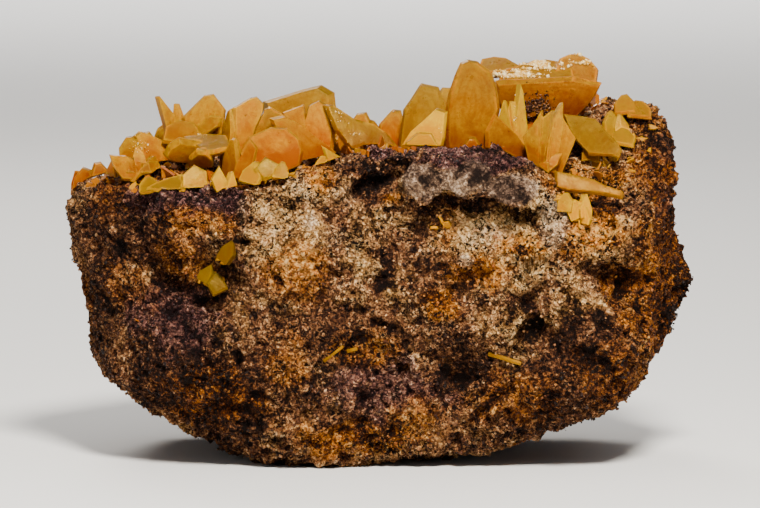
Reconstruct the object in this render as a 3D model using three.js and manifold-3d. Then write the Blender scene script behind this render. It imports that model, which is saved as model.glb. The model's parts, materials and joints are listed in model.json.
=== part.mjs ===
// Wulfenite on gossan: tabular crystals grown on the top edge of a loose, spongy piece of iron-stained rock.
// Millimetres, +Z up. The specimen rests on a flat patch under the rock, and the origin is in that patch.
import * as THREE from "three";
import { mergeVertices } from "three/addons/utils/BufferGeometryUtils.js";
import Module from "manifold-3d";

const wasm = await Module();
wasm.setup();

// ---- Driving dimensions ----
const ROCK_CENTRE = new THREE.Vector3(1.2, 0, 27);
const ROCK_REACH = new THREE.Vector3(52, 30, 30);
const ROCK_DETAIL = 12;
const EDGE_ROUNDING = 1.1;
// Relief of the rock's skin: size of its lumps, then their height.
const RELIEF = [
  [17, 1.6],
  [7, 1.1],
];
const NODE_GAP = 0.3;
// Crystals: share of a face that its cut corners take, how far a pointed top's shoulders drop as a share of
// its half height, and the least room under a shoulder in corner cuts.
const CORNER_CUT = 0.24;
const SHOULDER_DROP = 1.1;
const FOOT_ROOM = 1.2;
// Half of the least width of a tip, how much the corners differ, and the bevel as a share of the thickness.
const MIN_TIP = 0.12;
const UNEVENNESS = 0.16;
const BEVEL = 0.3;
// A face this high or wide has its lower corners cut too, and one narrower than the small one has no bevel.
const LARGE_FACE = 7.5;
const SMALL_FACE = 3.5;
// How much further a corner moves than the sides beside it, where a tablet grows by the gap.
const CORNER_REACH = 1.3;
// Where the search for the rock's surface starts, and how often it halves its last step.
const SEARCH_START = 14;
const HALVINGS = 10;
const WELD_REACH = 1e-4;
// Factors of the sine that gives each corner of a lattice its own value from 0 to 1.
const HASH_STEPS = [127.1, 311.7, 74.7];
const HASH_SCALE = 43758.5453;
const DEG = Math.PI / 180;

// Fracture faces of the rock: a point on each face, then its outward direction.
const FRACTURES = [
  [[-52.2, 0, 40], [-1, 0, 0.08]],
  [[-47.5, 0, 23], [-0.96, 0, -0.26]],
  [[-45.2, 0, 13], [-0.65, 0, -0.76]],
  [[-36.5, 0, 5], [-0.37, 0, -0.93]],
  [[51, 0, 40], [1, 0, 0.02]],
  [[46.8, 0, 20.4], [0.92, 0, -0.4]],
  [[45.7, 0, 10.4], [0.8, 0, -0.6]],
  [[30, 0, 5.2], [0.31, 0, -0.95]],
  [[0, -25.5, 36], [0, -1, 0.06]],
  [[0, -23, 9], [0, -0.93, -0.37]],
  [[20, -20, 1.9], [0.085, -0.15, -0.985]],
  [[44, -21, 30], [0.92, -0.4, 0.02]],
  [[-40, -18, 25], [-0.62, -0.78, 0.05]],
  [[-32, -18.5, 9], [-0.42, -0.55, -0.72]],
  [[0, 26, 30], [0.05, 1, 0.1]],
  [[0, 23, 9], [0, 0.9, -0.42]],
  [[-38, 18, 25], [-0.68, 0.73, 0.05]],
  [[41, 18, 28], [0.75, 0.66, 0.1]],
];

// Height of the rock's top along its width: at the front rim, and from the middle of its depth to the back.
const FRONT_RIM = [
  [-52, 45], [-36, 46.2], [-25, 46], [-18, 47.4], [-13, 49.4], [2, 51.4], [15, 52.8], [21, 52.6],
  [25, 50], [29, 46.4], [36, 45], [52, 45],
];
const BACK_TOP = [
  [-52, 44.5], [-45, 46.6], [-35, 48.4], [-16, 49.6], [-9, 52.4], [-3, 51.6], [4, 49.8], [20, 51.6],
  [28, 53.6], [35, 56.4], [41, 60], [45, 58.6], [48.5, 56.6], [52, 53.4],
];
const RIM_DEPTH = [-19, -1];

// Lumps and pits of the rock: middle, radius, and how far the surface is pushed out (or in).
const LUMPS = [
  [[8, -25, 47], 5, 3.2],
  [[17, -25, 47.5], 5, 3.4],
  [[23, -25, 46], 4.5, 3],
  [[12, -25, 41.6], 4, -3.4],
  [[20, -25, 41], 4.5, -4],
  [[1, -25, 46.6], 4.5, -4],
  [[-13, -25, 37], 9, 1.6],
  [[-25, -25, 32], 5, -3.5],
  [[-33, -20, 30], 6, -2.2],
  [[-38, -17, 20], 8, 1.4],
  [[10, -25, 28], 4, 1.8],
  [[17, -25, 34.5], 4, 2],
  [[24, -25, 38], 4, 2],
  [[31, -25, 40], 4, 1.6],
  [[14.5, -25, 30.5], 4, -2.5],
  [[40, -22, 30.5], 5, -3.5],
  [[37, -24, 42.5], 3.5, -2.5],
  [[35.6, -12.6, 48.5], 4.4, 3],
  [[14, -25, 16], 4.5, -2.4],
  [[25, -25, 22], 4, -2.2],
  [[3, -25, 14], 4, -1.6],
  [[-8, -24, 8], 7, 1.2],
  [[51, -3, 30], 5, 3],
  [[-51, 0, 34], 6, 1.8],
  [[-10, 26, 34], 8, -2.5],
  [[18, 26, 20], 9, 2],
  [[30, 22, 42], 6, -2],
  [[-28, 24, 16], 6, 1.6],
  [[0, 0, 0], 8, 2.8],
];

// Crystals. Each row is one tablet: middle x, y, z, then width, height, thickness, then turn (about the
// vertical), lean (top goes back), roll (top goes right), and taper (0 square top, 1 pointed).
const CLUSTERS = {
  left_end_cluster: { tint: "orange", tablets: [
    [-48.6, -2.6, 45.6, 4.6, 5, 1.3, -20, 10, 6, 0.3],
    [-46.2, -2.4, 46.4, 3.8, 5.4, 1.2, 16, 6, -8, 0.4],
    [-49.8, -1, 45.4, 3, 4, 1.1, -40, 12, -14, 0.6],
  ] },
  left_rosette: { tint: "honey", tablets: [
    { at: [-41.2, -13, 48.9], thick: 1.1, turn: -8, lean: 16, corners: [
      [-3.1, 2.2], [-0.3, 2.1], [3, 0.8], [1.7, -2.3], [-0.6, -2.2], [-2.4, 0.2]] },
    [-38.3, -12.6, 48, 3.4, 7.4, 1, 46, 0, 36, 0.7],
    [-40.7, -9, 51.2, 4.6, 6, 1.2, -22, 12, -8, 0.3],
    { at: [-36.8, -8, 51.8], thick: 1.2, turn: 20, lean: 8, corners: [
      [-3.6, 2], [-2.6, 2.8], [0.3, 1.7], [2.5, 0.6], [3.5, -2.2], [1, -4.2], [-2, -3.4]] },
    [-38.2, -3.4, 50.6, 4.8, 7, 1.3, 0, 12, -8, 0.4],
    [-35.8, 0.8, 51, 4.6, 8, 1.3, 28, 0, -8, 0.5],
    [-43.7, -9, 47.4, 4, 5.6, 1.1, -52, 0, 10, 0.7],
    [-39.3, -12.6, 50.8, 2.2, 3.2, 1, 10, 20, -10, 0.6],
    [-39.2, -6, 48.2, 8, 16, 3.2, 0, 90, 0, 0],
  ] },
  left_spire_cluster: { tint: "honey", tablets: [
    [-33.9, -5.2, 54.8, 3.4, 12.2, 1.2, 34, 4, -28, 0.9],
    [-32.8, -5.6, 54.6, 3.2, 9.8, 1.1, -40, 4, -12, 0.9],
    { at: [-28.5, -6, 57], thick: 1.4, turn: 6, lean: 5, corners: [
      [-3.9, -0.4], [-0.1, 3.3], [1.4, 3.5], [3.4, 0.8], [2.8, -4.4], [-1, -7.6], [-3.2, -4.6]] },
    { at: [-27.9, -7.6, 55.3], thick: 1.1, turn: -22, lean: 18, corners: [
      [-1.9, -0.2], [0.1, 1.9], [2.4, 1.7], [2, 0], [-0.8, -2.2], [-1.8, -1.3]] },
    [-32, -8.4, 54.2, 7, 5, 1.3, -15, 34, 8, 0.3],
    [-31.2, -12, 51.6, 7.8, 4.8, 1.8, 10, -34, 10, 0.2],
    { at: [-28, -12.6, 52.3], thick: 1.4, turn: 0, lean: 62, corners: [
      [-4.3, 2.3], [0, 3.2], [4.6, 2.6], [4.6, -0.6], [1.2, -2.2], [-0.6, -2.3]] },
    [-29, -13.8, 50.6, 4.6, 4.2, 1.4, 8, -45, 0, 0.4],
    [-24.4, -10.6, 53.6, 4.6, 11, 1.4, -68, 5, 4, 0.5],
    { at: [-21, -11, 57.2], thick: 1.3, turn: 16, lean: 6, corners: [
      [-2.9, 1.5], [0, 3], [1.2, 3.2], [2.4, 2], [2.2, 0.6], [0.8, -2], [-1.2, -7], [-3, -6]] },
    [-23.8, -14.6, 50.2, 4.8, 8.4, 1.3, -52, 0, 10, 0.6],
  ] },
  front_left_strip: { tint: "lemon", tablets: [
    { at: [-34.6, -20, 47], thick: 1, turn: 2, lean: 46, corners: [
      [-3.2, -1.4], [-1.6, -0.2], [0.4, 0.8], [2.9, 1.8], [2.9, -1.6], [1, -2.4]] },
    { at: [-29.8, -19.6, 47.8], thick: 1.1, turn: 12, lean: 22, corners: [
      [-2.4, -1.9], [-2.3, 0.4], [0, 2.3], [2.1, 1.1], [2.1, -1.4], [0.4, -2.6]] },
    [-37.2, -19.4, 46.6, 3.4, 2.8, 1, -20, 34, -8, 0.4],
  ] },
  front_left_spray: { tint: "lemon", tablets: [
    { at: [-25.5, -22.6, 47.4], thick: 1.1, turn: 6, lean: 8, corners: [
      [-1.7, 0.5], [-0.3, 2.7], [1.9, -1.2], [1.7, -2.2], [-0.5, -2.8]] },
    [-24, -22.2, 47, 2.6, 4.6, 1, 44, 6, 8, 0.8],
  ] },
  back_block: { tint: "tan", tablets: [
    { at: [-13, 4, 55.4], thick: 3.4, turn: -6, lean: 8, corners: [
      [-6.3, 3], [0, 5], [3.5, 5.8], [5.7, 4.6], [6.2, 0], [5.3, -9], [-3.3, -9], [-6, -3]] },
    [-13.8, 1.2, 54.4, 6, 8, 1.8, -18, 12, 4, 0.3],
  ] },
  centre_left_cluster: { tint: "amber", tablets: [
    { at: [-17.6, -11, 55], thick: 1.3, turn: -10, lean: 8, corners: [
      [-2.9, 0.7], [-1.1, 3.5], [0, 3.7], [1.9, 2.6], [4.7, 0.6], [4.2, -6], [-3.6, -6]] },
    { at: [-13.6, -9.8, 55.2], thick: 1.2, turn: 6, lean: 6, corners: [
      [-2.2, 2.6], [1.5, 3.8], [2.1, -1], [1.6, -7.4], [-2.4, -6.8]] },
    { at: [-17, -15.2, 52.4], thick: 1.8, turn: 0, lean: 10, corners: [
      [-6.2, -1.6], [-4.3, 1.8], [-0.5, 3.5], [2.2, 3.3], [4.2, 1.4], [4.8, -0.6],
      [4.2, -4.4], [-4.8, -4.4]] },
    { at: [-9.7, -10, 56], thick: 1.5, turn: -14, lean: 3, corners: [
      [-2.6, 0], [-1.8, 2.8], [0.1, 3.7], [1.4, 2.9], [2.8, -1.1], [2.2, -6.8], [-2.2, -6.8]] },
    { at: [-11.7, -12, 52.2], thick: 1.6, turn: 20, lean: 10, corners: [
      [-6.3, 5], [-3.9, 5.4], [-1.2, 3.9], [3.8, -0.2], [6.3, -2],
      [5.2, -4.6], [2.3, -5.6], [-1.5, -5.3], [-4.2, -1]] },
    { at: [-21.4, -16.6, 50.8], thick: 1.1, turn: -14, lean: 8, corners: [
      [-2.4, -3.6], [-2.2, -1.9], [0.5, 3.4], [1.9, 1.7], [1.5, -0.2], [0.6, -3.8]] },
  ] },
  lemon_front_crystals: { tint: "lemon", tablets: [
    [-20.4, -21.4, 48.8, 4.2, 4.4, 1, -22, 22, 14, 0.6],
    { at: [-18, -21.4, 49.8], thick: 1.1, turn: 10, lean: 26, corners: [
      [-2.2, -0.4], [-0.2, 1.7], [2.2, 0.1], [1.9, -1.8], [-0.8, -2.4]] },
    [-15.6, -21.8, 49.2, 2.8, 3.2, 1, 0, 30, 10, 0.6],
  ] },
  rim_chips: { tint: "lemon", tablets: [
    [-9, -21.6, 50.2, 2.4, 3, 1, -20, 10, 4, 0.5],
    { at: [-6.9, -21, 50.6], thick: 1.2, turn: 20, lean: 10, corners: [
      [-2.3, 2.7], [1.8, 0.2], [1.7, -1.2], [0.2, -2.4], [-1.4, -0.8]] },
  ] },
  slanting_blade: { tint: "honey", tablets: [
    { at: [-2.6, -12, 54], thick: 1.8, turn: 14, lean: 24, corners: [
      [-6, 5.6], [-4.7, 5.6], [-1.3, 3], [2, 2], [4.3, 0.2], [6.3, -2.8],
      [4.8, -4.8], [0.8, -5.2], [-2, -3], [-4.6, 1.2]] },
  ] },
  back_centre_cluster: { tint: "amber", tablets: [
    [-3, 7.2, 52.2, 5.2, 8.8, 1.5, -10, 12, 2, 0.4],
    [-0.4, 6.4, 51.8, 4, 7.6, 1.3, 14, 10, -6, 0.6],
    [2.2, 5.4, 52.6, 5, 10, 1.6, -8, 4, 12, 0.4],
  ] },
  centre_right_back: { tint: "tan", tablets: [
    [7.8, 1, 54.2, 8.6, 15, 1.8, -8, 6, 6, 0.3],
    [11.4, 2.4, 57, 6, 9, 1.6, 12, 12, 6, 0.3],
  ] },
  centre_right_front: { tint: "lemon", tablets: [
    { at: [7.6, -16, 54.2], thick: 1.3, turn: -16, lean: 10, corners: [
      [-4.6, -2.8], [-2.4, 0.8], [0, 3], [2, 4.8], [3.7, 4.3], [3.5, 0], [2.8, -4], [-2, -4.4]] },
    [7.3, -17, 52.6, 6.4, 5.4, 1.3, -5, 14, 6, 0.3],
  ] },
  tall_blade: { tint: "amber", tablets: [
    { at: [15.3, -13.5, 59.6], thick: 1.9, turn: 5, lean: 3, corners: [
      [-4.3, -1.5], [-3.8, 1.3], [-2.9, 4.2], [-1.8, 6.6], [-0.6, 7.1], [1, 6.8], [3.1, 5.2],
      [4.1, 3], [4.7, -1], [4, -5.6], [2.2, -10], [-2.4, -10.6], [-4.2, -8]] },
    [15.2, -15, 52, 4, 4.6, 1.4, 10, 8, 4, 0.4],
    { at: [22.4, -14.8, 52.2], thick: 1.4, turn: 14, lean: 8, corners: [
      [-5, 3], [-3.4, 5.9], [-1.8, 4.4], [0.3, 2.3], [2.1, -0.2], [3.5, -2.4],
      [4.4, -4.8], [2.5, -5.6], [-2.8, -4.2], [-5, -2]] },
  ] },
  blade_fan: { tint: "honey", tablets: [
    { at: [26.3, -18.6, 54.4], thick: 1, turn: -24, lean: 4, corners: [
      [-3, 0], [-0.3, 3.3], [0.3, 4.4], [0.6, 2.8], [0.2, -3.4], [0.4, -6.4], [-1.2, -6.4]] },
    { at: [27.4, -18.8, 55], thick: 1, turn: -36, lean: 4, corners: [
      [-1.2, 2], [1.1, 3.8], [0.9, 1.5], [-0.2, -7], [-1.4, -7]] },
    { at: [29, -18, 56.2], thick: 1.1, turn: 34, lean: 6, corners: [
      [-0.9, 1.2], [1.5, 3.8], [1.1, -0.4], [-1.2, -8.2], [-2.8, -7.4]] },
    { at: [30.4, -16.6, 54.2], thick: 1.3, turn: 20, lean: 4, corners: [
      [-0.4, 3.3], [2, -0.3], [1.5, -1.4], [-1, -6.4], [-3, -6], [-2, 0.6]] },
    { at: [28.2, -19.6, 50.4], thick: 1.1, turn: 0, lean: 20, corners: [
      [-2.1, -0.6], [1.1, 1.5], [1.9, 1.5], [1.1, -0.6], [-0.9, -2.4], [-2, -2.4]] },
    { at: [27, -20.5, 48.8], thick: 1.1, turn: -8, lean: 6, corners: [
      [-0.9, 1.5], [0.7, 1.7], [0.9, -0.6], [0, -1.6], [-1, -0.4]] },
  ] },
  cockscomb: { tint: "lemon", tablets: [
    [20.8, -7.4, 55, 3.2, 9.2, 1.1, -18, 4, 2, 0.8],
    [22, -7.2, 55, 3.4, 9.8, 1.1, -56, 3, 2, 0.8],
    { at: [23.4, -7, 56], thick: 1.2, turn: 36, lean: 3, corners: [
      [-1.7, -2], [0, 6.2], [0.5, 4.8], [1.2, -1.8], [0.8, -6.8], [-1.6, -6.8]] },
  ] },
  great_rosette: { tint: "orange", tablets: [
    { at: [19.9, 3.6, 64.2], thick: 1.4, turn: -8, lean: 58, corners: [
      [-3, 1.8], [-0.8, 2.6], [1.4, 2.2], [4.4, -0.6], [0.8, -2.4], [-2, -2.6], [-3.2, -0.8]] },
    { at: [27, 1.2, 63.4], thick: 1.5, turn: 4, lean: 58, corners: [
      [-7.4, -2.4], [-3.4, 1.8], [1.2, 3.4], [5.6, 2], [5.6, -2.6], [0, -4]] },
    { at: [33.2, 2, 63.6], thick: 1.5, turn: 10, lean: 34, corners: [
      [-4.6, -0.8], [-2.8, 2.6], [-1, 3.4], [0.8, 3.3], [2.4, 2.3], [3.7, 0.2], [2.9, -3], [-1, -3.8]] },
    { at: [28.4, -2.2, 59.8], thick: 1.9, turn: 0, lean: -24, corners: [
      [-9, 3], [-2, 3.4], [4, 3.8], [8.7, 2.6], [7.3, -0.5], [4.9, -3.6], [1.9, -4.6],
      [-0.9, -3], [-4.7, -4.4], [-7.6, -3.6], [-8.8, -0.4]] },
    [31.6, 1.4, 57.6, 6.5, 10, 1.8, 8, -6, 4, 0.3],
    [25.8, 0.6, 56, 8.6, 13, 2.2, 5, 5, 0, 0.2],
  ] },
  flat_plate: { tint: "tan", tablets: [
    { at: [35.2, -12, 54], thick: 1.1, turn: -14, lean: 32, corners: [
      [-5.4, 4], [-2.4, 3.7], [0.2, 3.2], [2, 1.2], [4, -0.8], [5.4, -2.6],
      [4.6, -3.8], [-0.2, -3.5], [-2.4, -1.3], [-4.2, 1.4]] },
    [35, -12.2, 50.8, 3.2, 4.4, 1.2, -10, 10, 0, 0.4],
  ] },
  hump_sprig: { tint: "lemon", tablets: [
    [38.4, -7.4, 55.6, 2.8, 4.8, 1, 35, 22, 10, 0.6],
    [40, -7.6, 55.2, 2.6, 4.2, 1, 10, 28, -4, 0.6],
    [40.4, -9.2, 53.6, 4.2, 3.6, 1, 0, 42, 12, 0.4],
  ] },
  hump_plates: { tint: "honey", tablets: [
    [43.2, -4.8, 57.8, 4.6, 4, 1, 14, 48, 10, 0.4],
    [40.8, -4.6, 58.6, 3.8, 4.2, 1, -8, 44, -8, 0.4],
  ] },
  ledge_wedge: { tint: "honey", tablets: [
    { at: [34.2, -23.2, 47], thick: 1.3, turn: 4, lean: 30, corners: [
      [-5.5, 2.5], [-3.2, 2], [0.7, 0.8], [2.8, -0.5], [5.7, -1.8], [5.3, -2.6], [2.3, -1.8],
      [-3.7, -1.2], [-5.6, -0.6]] },
  ] },
  ledge_cluster: { tint: "lemon", tablets: [
    [30.4, -25.6, 44.4, 2.6, 3.2, 1.1, -20, 8, 0, 0.5],
    [32, -25.4, 43.4, 3.4, 3.4, 1.1, 14, 6, -20, 0.6],
    [33.4, -25.2, 43.8, 2.4, 4, 1.1, 36, 8, 6, 0.9],
    [33.4, -25.4, 42.4, 2.8, 2.8, 1, -30, 4, 14, 0.7],
  ] },
  recess_plate: { tint: "lemon", tablets: [
    [-24.2, -25.2, 36.4, 2.6, 3.8, 1.2, -28, 10, 30, 0.6],
  ] },
  recess_sprig: { tint: "lemon", tablets: [
    [-26.7, -22.8, 31.6, 2.8, 5, 1.2, 6, 20, -24, 0.7],
    [-27.6, -22.8, 32.8, 2.4, 3.6, 1.2, -30, 10, 24, 0.6],
  ] },
  rear_left_plate: { tint: "amber", tablets: [
    [-29, 9.5, 50.6, 6.5, 8, 1.6, 20, 8, -8, 0.3],
    [-26.6, 8.4, 50.8, 4, 6.4, 1.3, -60, 6, -6, 0.6],
  ] },
  rear_centre_plates: { tint: "amber", tablets: [
    [-12, 15, 51.2, 7, 7.6, 1.6, -20, -8, -6, 0.3],
    [-8.8, 14.8, 51.2, 4.6, 8, 1.4, 35, -4, 8, 0.5],
  ] },
  rear_right_plate: { tint: "amber", tablets: [
    [15.4, 16, 53.4, 6.8, 8.2, 1.8, 14, -8, 5, 0.3],
    [12.8, 14.8, 53, 4.4, 6.6, 1.3, -48, -4, 6, 0.6],
  ] },
};

const COLOURS = {
  rock: "#6f4a33",
  tan: "#b98d52",
  honey: "#c88a30",
  amber: "#b96a22",
  orange: "#c2641c",
  lemon: "#c9ae4c",
};
const ROCK_ROUGHNESS = 0.95;
const CRYSTAL_ROUGHNESS = 0.3;

const faces = FRACTURES.map(([point, direction]) => ({
  origin: new THREE.Vector3(...point),
  normal: new THREE.Vector3(...direction).normalize(),
}));

// Joins the corners that neighbouring triangles share.
function weld(geometry) {
  const bare = geometry.clone();
  bare.deleteAttribute("normal");
  bare.deleteAttribute("uv");
  return mergeVertices(bare, WELD_REACH);
}

// ---- Rock ----
function hash(i, j, k) {
  const value = Math.sin(i * HASH_STEPS[0] + j * HASH_STEPS[1] + k * HASH_STEPS[2]) * HASH_SCALE;
  return value - Math.floor(value);
}

function smoothNoise(p, cell) {
  const x = p.x / cell;
  const y = p.y / cell;
  const z = p.z / cell;
  const [i, j, k] = [Math.floor(x), Math.floor(y), Math.floor(z)];
  const ease = (t) => t * t * (3 - 2 * t);
  const [u, v, w] = [ease(x - i), ease(y - j), ease(z - k)];
  let sum = 0;
  for (const a of [0, 1]) {
    for (const b of [0, 1]) {
      for (const c of [0, 1]) {
        const weight = (a ? u : 1 - u) * (b ? v : 1 - v) * (c ? w : 1 - w);
        sum += weight * hash(i + a, j + b, k + c);
      }
    }
  }
  return sum * 2 - 1;
}

function alongProfile(profile, x) {
  const next = Math.max(1, profile.findIndex(([end]) => end >= x));
  const [[x0, z0], [x1, z1]] = [profile[next - 1], profile[next]];
  return THREE.MathUtils.mapLinear(THREE.MathUtils.clamp(x, x0, x1), x0, x1, z0, z1);
}

function topHeight(x, y) {
  const inside = THREE.MathUtils.clamp(x, FRONT_RIM[0][0], FRONT_RIM.at(-1)[0]);
  const backward = THREE.MathUtils.smoothstep(y, ...RIM_DEPTH);
  return THREE.MathUtils.lerp(alongProfile(FRONT_RIM, inside), alongProfile(BACK_TOP, inside), backward);
}

// How far a point is outside the rock (negative inside it).
function outsideRock(point) {
  let sum = Math.exp((point.z - topHeight(point.x, point.y)) / EDGE_ROUNDING);
  for (const { origin, normal } of faces) {
    sum += Math.exp(normal.dot(point.clone().sub(origin)) / EDGE_ROUNDING);
  }
  let distance = EDGE_ROUNDING * Math.log(sum);
  for (const [middle, size, push] of LUMPS) {
    const away = point.distanceTo(new THREE.Vector3(...middle)) / size;
    distance -= push * Math.exp(-away * away);
  }
  for (const [size, height] of RELIEF) {
    distance -= height * smoothNoise(point, size);
  }
  return distance;
}

// Distance from the rock's centre to where one direction leaves it.
function rockRadius(direction, grow) {
  const leaves = (radius) => outsideRock(direction.clone().multiplyScalar(radius).add(ROCK_CENTRE)) > grow;
  let outer = SEARCH_START;
  while (!leaves(outer)) {
    outer += 1;
  }
  let inner = outer - 1;
  for (let i = 0; i < HALVINGS; i += 1) {
    const middle = (inner + outer) / 2;
    [inner, outer] = leaves(middle) ? [inner, middle] : [middle, outer];
  }
  return outer;
}

// The rock's skin, moved outwards by grow, and cut flat where it rests.
function rockGeometry(grow) {
  const geometry = weld(new THREE.IcosahedronGeometry(1, ROCK_DETAIL));
  const position = geometry.attributes.position;
  const direction = new THREE.Vector3();
  for (let i = 0; i < position.count; i += 1) {
    direction.fromBufferAttribute(position, i).multiply(ROCK_REACH).normalize();
    const floor = direction.z < 0 ? (ROCK_CENTRE.z + grow) / -direction.z : Infinity;
    const radius = Math.min(rockRadius(direction, grow), floor);
    const z = Math.max(-grow, ROCK_CENTRE.z + direction.z * radius);
    position.setXYZ(i, ROCK_CENTRE.x + direction.x * radius, ROCK_CENTRE.y + direction.y * radius, z);
  }
  return geometry;
}

// ---- Crystals ----
// Corners of a tabular crystal's face: a square that narrows upwards by taper, with no two corners alike.
// Large ones have their lower corners cut too.
function faceCorners(width, height, taper) {
  const w = width / 2;
  const h = height / 2;
  const cut = CORNER_CUT * Math.min(width, height);
  const topHalf = Math.max((w - cut) * (1 - taper), MIN_TIP);
  const shoulder = Math.max(h - cut - SHOULDER_DROP * taper * h, -h + FOOT_ROOM * cut);
  const top = [[w, shoulder], [topHalf, h], [-topHalf, h], [-w, shoulder]];
  const corners = Math.max(width, height) < LARGE_FACE
    ? [[-w, -h], [w, -h], ...top]
    : [[-w + cut, -h], [w - cut, -h], [w, -h + cut], ...top, [-w, -h + cut]];
  return corners.map(([u, v], i) => {
    const inward = 1 - UNEVENNESS * hash(width + i, height, taper);
    return [u * inward, v * (i > 1 ? inward : 1)];
  });
}

// A closed tablet with flat faces front and back. Small ones have plain sides. Larger ones have their full
// outline at the middle of the thickness, and smaller faces.
function tabletGeometry(corners, thickness) {
  const outline = corners.map(([x, z]) => new THREE.Vector2(x, z));
  if (THREE.ShapeUtils.isClockWise(outline)) {
    outline.reverse();
  }
  const halfWidth = Math.max(...outline.map(({ x }) => Math.abs(x)));
  const halfHeight = Math.max(...outline.map(({ y }) => Math.abs(y)));
  const inset = BEVEL * thickness;
  const shrink = [1 - inset / halfWidth, 1 - inset / halfHeight];
  const rings = halfWidth < SMALL_FACE / 2
    ? [[[1, 1], -thickness / 2], [[1, 1], thickness / 2]]
    : [[shrink, -thickness / 2], [[1, 1], 0], [shrink, thickness / 2]];
  const count = outline.length;
  const ringOf = ([[across, up], depth]) => outline.flatMap(({ x, y }) => [x * across, depth, y * up]);
  const vertices = rings.flatMap(ringOf);
  const last = (rings.length - 1) * count;
  const index = [];
  for (const [i, j, k] of THREE.ShapeUtils.triangulateShape(outline, [])) {
    index.push(i, j, k);
    index.push(last + i, last + k, last + j);
  }
  for (let i = 0; i < count; i += 1) {
    const j = (i + 1) % count;
    for (let ring = 0; ring < last; ring += count) {
      index.push(ring + i, ring + count + i, ring + j);
      index.push(ring + j, ring + count + i, ring + count + j);
    }
  }
  const geometry = new THREE.BufferGeometry();
  geometry.setAttribute("position", new THREE.Float32BufferAttribute(vertices, 3));
  geometry.setIndex(index);
  return geometry;
}

function readRow([x, y, z, width, height, thick, turn, lean, roll, taper]) {
  return { at: [x, y, z], corners: faceCorners(width, height, taper), thick, turn, lean, roll };
}

// One tablet in its place, with every side moved outwards by about grow.
function placedTablet(row, grow) {
  const { at, corners, thick, turn, lean, roll } = Array.isArray(row) ? readRow(row) : { roll: 0, ...row };
  const grown = corners.map(([u, v]) => {
    const scale = 1 + (grow * CORNER_REACH) / Math.hypot(u, v);
    return [u * scale, v * scale];
  });
  const geometry = tabletGeometry(grown, thick + 2 * grow);
  geometry.applyMatrix4(new THREE.Matrix4().makeRotationFromEuler(
    new THREE.Euler(-lean * DEG, roll * DEG, turn * DEG, "ZXY"),
  ));
  return geometry.translate(...at);
}

// ---- Solids ----
function toSolid(geometry) {
  const merged = weld(geometry);
  return new wasm.Manifold(new wasm.Mesh({
    numProp: 3,
    vertProperties: new Float32Array(merged.attributes.position.array),
    triVerts: new Uint32Array(merged.index.array),
  }));
}

function toMesh(solid, name, colour) {
  const { vertProperties, triVerts } = solid.getMesh();
  const geometry = new THREE.BufferGeometry();
  geometry.setAttribute("position", new THREE.Float32BufferAttribute(vertProperties, 3));
  geometry.setIndex(new THREE.Uint32BufferAttribute(triVerts, 1));
  geometry.computeVertexNormals();
  const roughness = colour === COLOURS.rock ? ROCK_ROUGHNESS : CRYSTAL_ROUGHNESS;
  const material = new THREE.MeshStandardMaterial({ color: colour, metalness: 0, roughness });
  const mesh = new THREE.Mesh(geometry, material);
  mesh.name = name;
  return mesh;
}

function clusterSolid(tablets, grow) {
  return tablets.map((row) => toSolid(placedTablet(row, grow))).reduce((whole, tablet) => whole.add(tablet));
}

function largestPiece(solid) {
  return solid.decompose().reduce((best, piece) => (piece.volume() > best.volume() ? piece : best));
}

// ---- The specimen ----
const specimen = new THREE.Group();
specimen.name = "wulfenite_specimen";
specimen.add(toMesh(toSolid(rockGeometry(0)), "matrix", COLOURS.rock));

let taken = toSolid(rockGeometry(NODE_GAP));
for (const [name, { tint, tablets }] of Object.entries(CLUSTERS)) {
  const whole = largestPiece(clusterSolid(tablets, 0).subtract(taken));
  specimen.add(toMesh(whole, name, COLOURS[tint]));
  taken = taken.add(clusterSolid(tablets, NODE_GAP));
}

export default specimen;
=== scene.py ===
"""Wulfenite on gossan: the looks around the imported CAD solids. Points and sizes are in mm, times MM."""
import json
import math

import bmesh
import bpy
import numpy as np
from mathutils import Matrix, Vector
from mathutils.bvhtree import BVHTree


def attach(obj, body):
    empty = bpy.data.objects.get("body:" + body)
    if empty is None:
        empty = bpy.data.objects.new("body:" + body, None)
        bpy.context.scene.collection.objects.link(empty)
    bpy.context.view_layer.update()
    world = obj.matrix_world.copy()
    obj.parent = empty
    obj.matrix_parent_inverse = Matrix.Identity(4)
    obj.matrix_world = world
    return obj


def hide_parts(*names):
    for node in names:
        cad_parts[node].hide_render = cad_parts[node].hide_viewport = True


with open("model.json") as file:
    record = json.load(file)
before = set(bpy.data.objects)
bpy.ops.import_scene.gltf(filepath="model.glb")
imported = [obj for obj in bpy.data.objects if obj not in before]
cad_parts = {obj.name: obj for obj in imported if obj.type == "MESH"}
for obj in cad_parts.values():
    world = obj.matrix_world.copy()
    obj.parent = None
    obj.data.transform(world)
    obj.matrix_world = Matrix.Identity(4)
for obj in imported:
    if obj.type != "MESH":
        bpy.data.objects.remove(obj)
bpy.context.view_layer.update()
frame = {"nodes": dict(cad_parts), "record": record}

MM = 0.001
SEED = 11

# Camera: a long lens at the photograph's viewing angle.
ELEVATION = math.radians(6)
CAMERA_DISTANCE = 0.9
VIEW_WIDTH = 126.7 * MM
LOOK_AT = Vector((0.33, 0, 33.3)) * MM
SENSOR = 36
NEAREST_SEEN = 0.01
FARTHEST_SEEN = 20

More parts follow.
